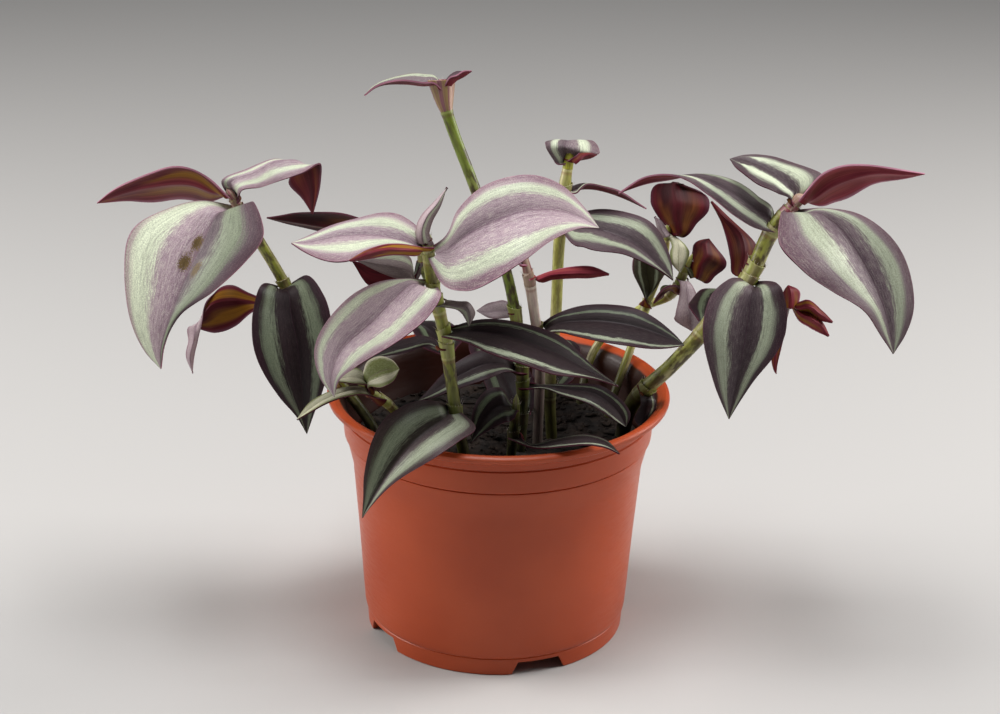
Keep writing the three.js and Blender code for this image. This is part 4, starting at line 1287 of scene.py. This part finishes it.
LEAVES = [
    ("leaf_a_left", "a", (-0.5, 0), "red", [lofted("a_left", 0.08)]),
    ("leaf_a_right", "a", (-1, -0.5), "silver", [lofted("a_right", 0.05)]),
    ("leaf_a_hanging", "a", (-1.5, -1), "scarred_half_shaded", [
        lofted("a_hanging", 0.06, scars=((0.10, 0.42), (-0.16, 0.44), (0.06, 0.30)))]),
    ("leaf_a_curled", "a", (12, 13), "amber", [lofted("a_curled", 0.06)]),
    ("leaf_a_lower", "a", (14, 15), "dusk", [lofted("a_lower")]),
    ("leaf_b_left", "b", (-1, -0.5), "silver", [
        lofted("b_left"), lofted("b_left_fold", 0.0, width=6, look="fold")]),
    ("leaf_b_young", "b", (-0.5, 0), "young", [lofted("b_young", 0.1, width=6)]),
    ("leaf_b_right", "b", (-1.5, -1), "wide", [lofted("b_right")]),
    ("leaf_b_front", "b", (15.5, 16), "front", [lofted("b_front", 0.04)]),
    ("leaf_b_rim", "b", (7, 8), "rim", [lofted("b_rim")]),
    ("leaf_b_low_right", "b", (12, 13), "night", [lofted("b_low_right")]),
    ("leaf_b_low_left", "b", (11, 12), "dull", [lofted("b_low_left", 0.1, width=12)]),
    ("leaf_b_bud", "b", (14, 15), "brown", [lofted("b_bud", 0.1, width=6)]),
    ("leaf_c_tip", "c", (-2, 0), "tip", [
        lofted("c_long", 0.02, width=8), lofted("c_short", 0.02, width=7)]),
    ("leaf_c_left", "c", (7, 8), "dull", [lofted("c_left", 0.1)]),
    ("leaf_c_right", "c", (6, 7), "night", [lofted("c_right")]),
    ("leaf_c_pale", "c", (11, 12), "lilac", [lofted("c_pale", 0.1, width=8)]),
    ("leaf_c_back", "c", (4, 5), "shade", [plain((-2, 20, 93), (-6, 45, 88), BACK, 20)]),
    ("leaf_d_right", "d", (-2, -1), "plum", [lofted("d_right", 0.05, width=8)]),
    ("leaf_d_tip", "d", (-1, 0), "rose", [plain((4, -12, 144), (1, -12, 147), (-0.6, -0.6, 0.4), 6)]),
    ("leaf_d_lower", "d", (10, 11), "night", [lofted("d_lower")]),
    ("leaf_e_cup", "e", (-1, 0), "cup", [
        lofted("e_cup", 0.1, width=16), lofted("e_under", 0.05, width=6)]),
    ("leaf_e_narrow", "e", (-3, -2), "tip", [plain((34, 10, 159), (50, 12, 152), (0, 0.3, 0.95), 15)]),
    ("leaf_e_right", "e", (16, 17), "mid", [lofted("e_right")]),
    ("leaf_e_back", "e", (5, 6), "shade", [plain((21, 24, 94), (19, 47, 88), BACK, 17)]),
    ("leaf_f_up", "f", (-1, -0.5), "bold", [lofted("f_up")]),
    ("leaf_f_right", "f", (-0.5, 0), "plum", [lofted("f_right", 0.10)]),
    ("leaf_f_hanging", "f", (-1.5, -1), "mauve", [lofted("f_hanging", 0.08)]),
    ("leaf_f_left", "f", (21, 21.5), "arched", [lofted("f_left", 0.08)]),
    ("leaf_f_front", "f", (17, 18), "heart", [lofted("f_front")]),
    ("leaf_f_behind", "f", (18, 19), "russet", [lofted("f_behind", 0.06)]),
    ("leaf_f_inner", "f", (7, 8), "dull", [lofted("f_inner", 0.1, width=7)]),
    ("leaf_f_back", "f", (13, 14), "shade", [plain((80, 14, 120), (88, 40, 106), BACK, 20)]),
    ("leaf_g_cup", "g", (-1, 0), "maroon", [
        lofted("g_cup", 0.05), lofted("g_pale", 0.1, width=8, look="cream"),
        lofted("g_roll", 0.0, width=4, look="lilac")]),
    ("leaf_g_left", "g", (9.5, 10.5), "green", [lofted("g_folded", 0.1, width=10)]),
    ("leaf_j_right", "j", (-1, 0), "olive", [lofted("j_right", 0.05, width=13)]),
    ("leaf_j_hanging", "j", (-2, -1), "lilac", [lofted("j_hanging", 0.1, width=9)]),
    ("leaf_j_orange", "j", (12, 13), "olive", [plain((60, 33, 114), (55, 31, 110), AWAY, 8)]),
    ("leaf_k_left", "k", (-1, 0), "maroon", [plain((-57, 8, 144), (-81, 10, 147), AWAY, 20)]),
    ("leaf_k_front", "k", (-2, -1), "brown", [
        lofted("k_front", 0.10, width=14), lofted("k_under", 0.05, width=8, look="wine")]),
    ("leaf_k_back", "k", (8, 9), "shade", [plain((-28, 33, 99), (-40, 66, 84), BACK, 18)]),
    ("leaf_l_curled", "l", (-1, 0), "lobe", [
        lofted("l_lobe", 0.1, width=14), lofted("l_white", 0.1, width=8, look="cream")]),
    ("leaf_l_left", "l", (8, 9), "cream", [lofted("l_left", 0.1, width=10)]),
    ("leaf_h_dark", "h", (-1, 0), "shade", [plain((-2, -42, 98), (-9, -46, 88), TILTED, 14)]),
    ("leaf_h_rim", "h", (-3, -2), "night", [lofted("h_rim", 0.08, width=12)]),
    ("leaf_shoot_young", "shoot", (-1, 0), "bud", [
        lofted("shoot_bud", 0.0, width=6), lofted("shoot_up", 0.05, width=7),
        lofted("shoot_low", 0.05, width=7),
        plain((94.5, -15, 111), (95, -15, 102.5), (0, 0.85, 0.5), 3.5)]),
]


# %% Building the leaves
TIP_SHEATHS = {"a": "young sheath", "d": "young sheath", "f": "young sheath", "c": "funnel sheath",
               "e": "top sheath"}
GROWING = 1.6  # a sheath that ends within so many segments of the stem's tip is a growing one
nodes_of = {key: [] for key in stems}


def build_leaf(number, name, key, sheath, look, blades):
    stem, seed = stems[key], 1.0 + number
    start = stem.count + sheath[0] if sheath[0] < 0 else sheath[0]
    end = start + sheath[1] - sheath[0]
    seat = start + 0.6 * (end - start)
    centre, axis = stem.point(seat), stem.axis(seat)
    parts, outs = [], []
    for blade in blades:
        out = np.array(blade["middle"], float) - centre
        outs.append(unit(out - axis * (out @ axis)))
        parts.append(build_blade(stem, seat, outs[-1], blade, LOOKS[blade["look"] or look], seed))
    form = FUNNEL if name == "leaf_c_tip" else CLOSED if end >= stem.count else HUGGING
    growing = end > stem.count - GROWING
    finish = TIP_SHEATHS.get(key, "leaf sheath") if growing else "leaf sheath"
    parts.append(build_sheath(stem, start, end, outs[0], seed, form, flesh[finish]))
    parts.append(build_hairs(stem, end, outs[0], seed, WIDE_RING if form is FUNNEL else HAIR_RING))
    select(*parts)
    bpy.ops.object.join()
    leaf = bpy.context.object
    leaf.name = name + "_leaf"
    shade(leaf, 50)
    nodes_of[key].append(start)
    return settle(leaf, slot_of[name], name)


leaves = [build_leaf(number, *row) for number, row in enumerate(LEAVES)]
print(len(leaves), "leaves,", sum(len(leaf.data.polygons) for leaf in leaves), "faces")

# %% [markdown]
# Now that the place of each leaf's node is known, the stems are laid, with a ring at each. Most
# are green, and some are olive, cream or pink. The side shoot grew out of the thickest stem, so the
# two tubes are joined into one piece.

# %% Stems with a ring at each leaf's node
STEM_FINISHES = {"c": "olive stem", "h": "olive stem", "k": "olive stem", "d": "pink stem",
                 "e": "cream stem", "g": "cream stem", "j": "cream stem"}
for key in "abcdeghjkl":
    made = build_stem(key, nodes_of[key], flesh[STEM_FINISHES.get(key, "green stem")])
    made.name += "_flesh"
    settle(made, slot_of["stem_" + key], "stem_" + key)
thick = build_stem("f", nodes_of["f"], flesh["green stem"])
shoot = build_stem("shoot", nodes_of["shoot"], flesh["green stem"])
select(thick, shoot)
bpy.ops.object.join()
thick.name = "stem_f_flesh"
settle(thick, slot_of["stem_f"], "stem_f")
print("the thick stem and its shoot:", len(thick.data.polygons), "faces")

# %% [markdown]
# The pot is moulded from thin plastic, so it is one wall that follows a single outer line. By hand
# it would be a circle, extruded and scaled up along that line, over the rolled lip, and back down
# inside to the floor. The foot's notches and the drainage holes are then cut by Boolean modifiers.

# %% The pot's line
OUTSIDE = [  # radius and height in mm, from the floor's underside out, up and over the lip
    (43.8, 5.6), (43.7, 0.5), (44.1, 0.0), (45.4, 0.0), (45.8, 0.4), (46.1, 5.6), (46.15, 6.2), (45.95, 6.5),
    (46.3, 6.75), (46.65, 7.3), (46.95, 8.8), (48.9, 36.5), (50.9, 61.5), (51.2, 63.6), (51.8, 66.0),
    (53.0, 71.2), (53.2, 71.9), (53.2, 72.4), (52.8, 72.65), (52.8, 73.0), (53.7, 73.1), (54.0, 73.4),
    (54.1, 74.0), (54.5, 80.6), (54.5, 81.0), (54.05, 81.3), (54.05, 81.6), (54.5, 81.9), (54.6, 82.5),
    (54.7, 84.6), (55.1, 85.2), (56.8, 85.6), (58.8, 86.0), (59.7, 86.6), (60.0, 87.4), (59.9, 88.1),
    (59.4, 88.7), (58.6, 89.0), (57.5, 88.8), (56.6, 88.2),
]
INSIDE = [  # and down again to the floor's upper side
    (55.0, 86.6), (53.6, 84.2), (53.2, 81.0), (52.7, 73.8), (51.9, 71.6), (50.2, 64.0), (49.8, 62.6),
    (47.6, 36.5), (45.9, 9.6), (45.5, 8.4), (44.7, 7.2), (43.3, 6.9),
]


def lathe(name, line, sides=128):
    """A circle extruded along a line of (radius, height), with its first and last loops filled."""
    start_clean()
    radius, height = line[0]
    bpy.ops.mesh.primitive_circle_add(vertices=sides, radius=radius * MM, fill_type="NGON",
                                      location=(0, 0, height * MM))
    piece = bpy.context.object
    piece.name = name
    bpy.ops.object.mode_set(mode="EDIT")
    bpy.ops.mesh.select_all(action="SELECT")
    bpy.ops.mesh.region_to_loop()
    for new_radius, new_height in line[1:]:
        bpy.ops.mesh.extrude_edges_move(
            TRANSFORM_OT_translate={"value": (0, 0, (new_height - height) * MM)})
        scale = new_radius / radius
        bpy.ops.transform.resize(value=(scale, scale, 1), center_override=(0, 0, new_height * MM))
        radius, height = new_radius, new_height
    bpy.ops.mesh.edge_face_add()
    bpy.ops.mesh.select_all(action="SELECT")
    bpy.ops.mesh.normals_make_consistent(inside=False)
    bpy.ops.object.mode_set(mode="OBJECT")
    bpy.ops.object.transform_apply(location=True, rotation=True, scale=True)
    return piece


# %% Notches and drainage holes
NOTCH_ANGLES = (-20, 60, 150, -110)  # degrees round the pot from its front
NOTCH_SIZE, NOTCH_TOP = (21.4, 8, 7), 0.70  # mm, and the share of its width that its top has
NOTCH_RADIUS, NOTCH_MIDDLE = 45, 1.5  # mm from the pot's axis, and above the ground
DRAINS, DRAIN_RADIUS, DRAIN_RING, DRAIN_DEPTH = 6, 3.5, 31, 12  # how many, and in mm
FLOOR_HEIGHT = 5.6  # mm


def cut(piece, *cutters):
    for cutter in cutters:
        hole = piece.modifiers.new("cut", "BOOLEAN")
        hole.operation, hole.solver, hole.object = "DIFFERENCE", "EXACT", cutter
        select(piece)
        bpy.ops.object.modifier_apply(modifier=hole.name)
        bpy.data.objects.remove(cutter)


def notch_cutter(degrees):
    """A block across the foot ring, wider at the ground than at its top."""
    start_clean()
    bpy.ops.mesh.primitive_cube_add(size=1, location=(0, -NOTCH_RADIUS * MM, NOTCH_MIDDLE * MM))
    block = bpy.context.object
    block.scale = [side * MM for side in NOTCH_SIZE]
    bpy.ops.object.transform_apply(location=True, rotation=True, scale=True)
    for corner in block.data.vertices:
        if corner.co.z > 0:
            corner.co.x *= NOTCH_TOP
    block.rotation_euler.z = -math.radians(degrees)
    bpy.ops.object.transform_apply(location=True, rotation=True, scale=True)
    return block


def drain_cutter(number):
    """A round rod through the floor, one of a ring of them round its middle."""
    angle = (number + 0.5) * math.pi / (DRAINS / 2)
    ring = DRAIN_RING * MM
    start_clean()
    bpy.ops.mesh.primitive_cylinder_add(
        vertices=32, radius=DRAIN_RADIUS * MM, depth=DRAIN_DEPTH * MM,
        location=(ring * math.cos(angle), ring * math.sin(angle), FLOOR_HEIGHT * MM))
    return bpy.context.object


pot = lathe("pot_shell", OUTSIDE + INSIDE)
cut(pot, *[notch_cutter(angle) for angle in NOTCH_ANGLES], *[drain_cutter(n) for n in range(DRAINS)])
shade(pot, 30)
print("pot:", len(pot.data.polygons), "faces")

# %% [markdown]
# The plastic is terracotta coloured all through and satin, with faint clouds in it from the
# moulding and fine scuffs round it. On the inner wall, below a ragged edge under the lip, painted
# shade darkens it nearly to black. The pot has no UV map, because noise that is read at the place
# in the object runs round it without a seam. Whether a point lies on the inner wall is told by its
# normal, which there looks inward.

# %% The pot's plastic
TERRACOTTA, BRIGHT_TERRACOTTA = (0.42, 0.060, 0.015), (0.49, 0.078, 0.021)
# the second colour here is painted shade for the inner wall, not a colour of the plastic
SCUFFED, SHADE_INSIDE_POT = (0.66, 0.19, 0.09), (0.020, 0.006, 0.004)
SHADE_INSIDE_FROM, SHADE_INSIDE_FULL, SHADE_INSIDE_TOP = 0.0615, 0.0855, 0.0890  # heights in metres
plastic, t, shader = new_material("terracotta plastic", Specular_IOR_Level=0.35)
where = t.place()
cloud = t.noise(where, 24.0, 3.0)
grain = t.noise(where, 900.0, 2.0)
scuff = t.noise(t.stretched(where, 1.0, 1.0, 14.0), 160.0, 3.0)
colour = t.mix(t.between(cloud, 0.3, 0.7), TERRACOTTA, BRIGHT_TERRACOTTA)
colour = t.mix(t.between(scuff, 0.66, 0.80, 0.0, 0.25), colour, SCUFFED)
height = t.axes(where)[2]
outward = t.add("VectorMath", operation="DOT_PRODUCT")
t.put(outward.inputs[0], t.add("NewGeometry").outputs["Normal"])
t.put(outward.inputs[1], t.stretched(where, 1.0, 1.0, 0.0))
facing_in = t.math("LESS_THAN", outward.outputs["Value"], 0.0)
# painted shade: the inner wall above the soil is painted nearly black, from a ragged edge under the lip down
inner_wall = t.times(facing_in, t.math("GREATER_THAN", height, SHADE_INSIDE_FROM))
under_lip = t.plus(t.between(height, SHADE_INSIDE_TOP, SHADE_INSIDE_FULL), t.between(cloud, 0.3, 0.7, -0.30, 0.30))
painted_shade_inside = t.times(inner_wall, t.between(under_lip, 0.15, 0.5))
colour = t.mix(t.times(painted_shade_inside, 0.98), colour, SHADE_INSIDE_POT)
satin = t.plus(t.between(scuff, 0.35, 0.75, 0.33, 0.46), t.between(grain, 0.3, 0.7, -0.02, 0.02))
t.fill(shader, Base_Color=colour, Roughness=satin)
relief(t, shader, grain, 0.04, 0.35)
pot.data.materials.append(plastic)
settle(pot, "pot", "pot")
print("pot finish:", plastic.name)

# %% [markdown]
# The soil is a plug of potting mix: an uneven top of fine dark crumbs with coarser bits of bark.
# Its body is turned like the pot, with many rings on top for a Displace modifier to lift.

# %% The soil
SOIL_TOP, TOP_RADIUS = 70.0, 50.7  # mm
TOP_RINGS, RING_STEP = 43, 1.15
LOOSE_FROM, LOOSE_RADIUS = 68.0, 50.5  # mm: only points above and within these are lifted
CLOD_SIZE, CLOD_HEIGHT = 4.0, 3.2  # mm
side_line = [(42.0, 7.2), (44.8, 9.0), (47.0, 36.5), (49.2, 62.6), (49.6, 64.0), (TOP_RADIUS, 69.0)]
top_line = [(TOP_RADIUS - i * RING_STEP, SOIL_TOP - 0.6 + 0.3 * math.sin(i * 0.7))
            for i in range(1, TOP_RINGS + 1)]
soil = lathe("soil_mix", side_line + top_line, 96)
clods = bpy.data.textures.new("clods", "CLOUDS")
clods.noise_scale, clods.noise_depth = CLOD_SIZE * MM, 3
loose = [v.index for v in soil.data.vertices
         if v.co.z > LOOSE_FROM * MM and v.co.xy.length < LOOSE_RADIUS * MM]
soil.vertex_groups.new(name="top").add(loose, 1, "REPLACE")
lump = soil.modifiers.new("lumps", "DISPLACE")
lump.texture, lump.strength, lump.mid_level, lump.direction = clods, CLOD_HEIGHT * MM, 0.5, "Z"
lump.vertex_group = "top"
select(soil)
bpy.ops.object.modifier_apply(modifier=lump.name)
shade(soil, 30)
print("soil:", len(soil.data.polygons), "faces")

# %% The soil's material
HUMUS, BROWN_HUMUS, FIBRE = (0.008, 0.005, 0.004), (0.024, 0.013, 0.008), (0.060, 0.034, 0.018)
potting_mix, t, shader = new_material("potting mix", Roughness=0.95)
where = t.place()
grain = t.noise(where, 700.0, 4.0)
clod = t.noise(where, 160.0, 3.0)
colour = t.mix(t.between(clod, 0.35, 0.65), HUMUS, BROWN_HUMUS)
colour = t.mix(t.between(grain, 0.62, 0.75, 0.0, 0.6), colour, FIBRE)
t.fill(shader, Base_Color=colour)
relief(t, shader, grain, 0.5, 0.8)
soil.data.materials.append(potting_mix)
settle(soil, "soil", "soil")

# %% [markdown]
# A displaced surface alone looks like a carpet. So loose crumbs and longer bits of bark are strewn
# on it. One rough ball is modelled and copied to random places, each copy turned, sized and
# stretched a little differently, and all copies of a kind are one mesh.

# %% Crumbs and bark
STREWN_RADIUS = 49.5  # mm


def build_crumbs(name, count, size, stretch, seed):
    chance = np.random.default_rng(seed)
    start_clean()
    bpy.ops.mesh.primitive_ico_sphere_add(subdivisions=1, radius=1.0)
    master = bpy.context.object
    for v in master.data.vertices:
        v.co *= chance.uniform(0.7, 1.15)
    places = []
    for _ in range(count):
        radius = STREWN_RADIUS * math.sqrt(chance.uniform(0, 1))
        angle = chance.uniform(0, 2 * math.pi)
        big = size * chance.uniform(0.5, 1.3) * MM
        spot = Matrix.Translation((radius * MM * math.cos(angle), radius * MM * math.sin(angle),
                                   (SOIL_TOP - 0.2 + chance.uniform(-0.4, 0.5)) * MM))
        turn = Matrix.Rotation(chance.uniform(0, 6.28), 4, "Z")
        lean = Matrix.Rotation(chance.uniform(-0.5, 0.5), 4, "X")
        spin = turn @ lean
        places.append(spot @ spin @ Matrix.Diagonal((big * stretch, big, big * 0.6, 1)))
    return settle(copies(master, places, name, potting_mix), "soil")


crumbs = build_crumbs("soil_crumbs", 900, 0.9, 1.2, 3)
bark = build_crumbs("soil_bark", 160, 1.6, 2.4, 5)
print("loose bits:", len(crumbs.data.polygons), "and", len(bark.data.polygons), "faces")

# %% [markdown]
# A pale floor, a plain world and three soft lamps. A large one at the left models the leaves and
# the pot's left side, a smaller one at the right fills their shadows, and one from above, a little
# to the front, lights the upper leaves.

# %% The stage
start_clean()
bpy.ops.mesh.primitive_plane_add(size=8)
floor = bpy.context.object
floor.name = "floor"
paper = new_material("pale floor", Roughness=0.8, Base_Color=(0.50, 0.49, 0.48))[0]
floor.data.materials.append(paper)

world = bpy.data.worlds.new("studio")
bpy.context.scene.world = world
world.use_nodes = True
background = world.node_tree.nodes["Background"]
background.inputs["Color"].default_value = (0.80, 0.84, 0.90, 1)
background.inputs["Strength"].default_value = 0.08
bpy.context.scene.view_settings.view_transform = "Standard"
print("stage:", floor.name, "and", world.name)

# %% Three soft lamps
LAMP_AIM = (0, 0, 0.1)  # the middle of the plant, in metres as the lamps' places are


def soft_lamp(name, place, size, watts, colour):
    lamp = bpy.data.lights.new(name, "AREA")
    lamp.shape, lamp.size, lamp.energy, lamp.color = "SQUARE", size, watts, colour
    holder = bpy.data.objects.new(name, lamp)
    bpy.context.scene.collection.objects.link(holder)
    holder.location = place
    holder.rotation_euler = (Vector(LAMP_AIM) - Vector(place)).to_track_quat("-Z", "Y").to_euler()
    print(name, watts, "W")


soft_lamp("left window", (-0.92, 0.06, 0.50), 0.6, 9, (1, 0.98, 0.95))
soft_lamp("right fill", (0.85, 0.20, 0.50), 0.5, 8, (1, 0.97, 0.94))
soft_lamp("top light", (0.0, -0.12, 0.95), 0.45, 7, (1, 1, 1))

# %% [markdown]
# The camera stands where the photograph's did. It looks down on the plant by 22 degrees through a
# long lens, and is turned by one degree.

# %% The camera
ELEVATION, DISTANCE, AIM_HEIGHT = math.radians(22.0), 823.0, 100.5
ROLL, LENS, SENSOR, SHIFT = math.radians(1.0), 85.0, 36.0, 0.0009
camera = bpy.data.cameras.new("camera")
camera.lens, camera.sensor_width, camera.shift_x = LENS, SENSOR, SHIFT
viewer = bpy.data.objects.new("camera", camera)
bpy.context.scene.collection.objects.link(viewer)
eye_height = AIM_HEIGHT + DISTANCE * math.sin(ELEVATION)
viewer.location = (0, -DISTANCE * MM * math.cos(ELEVATION), eye_height * MM)
tilt = Matrix.Rotation(math.pi / 2 - ELEVATION, 3, "X") @ Matrix.Rotation(ROLL, 3, "Z")
viewer.rotation_euler = tilt.to_euler()
bpy.context.scene.camera = viewer
print("camera", round(eye_height), "mm up,", LENS, "mm lens")
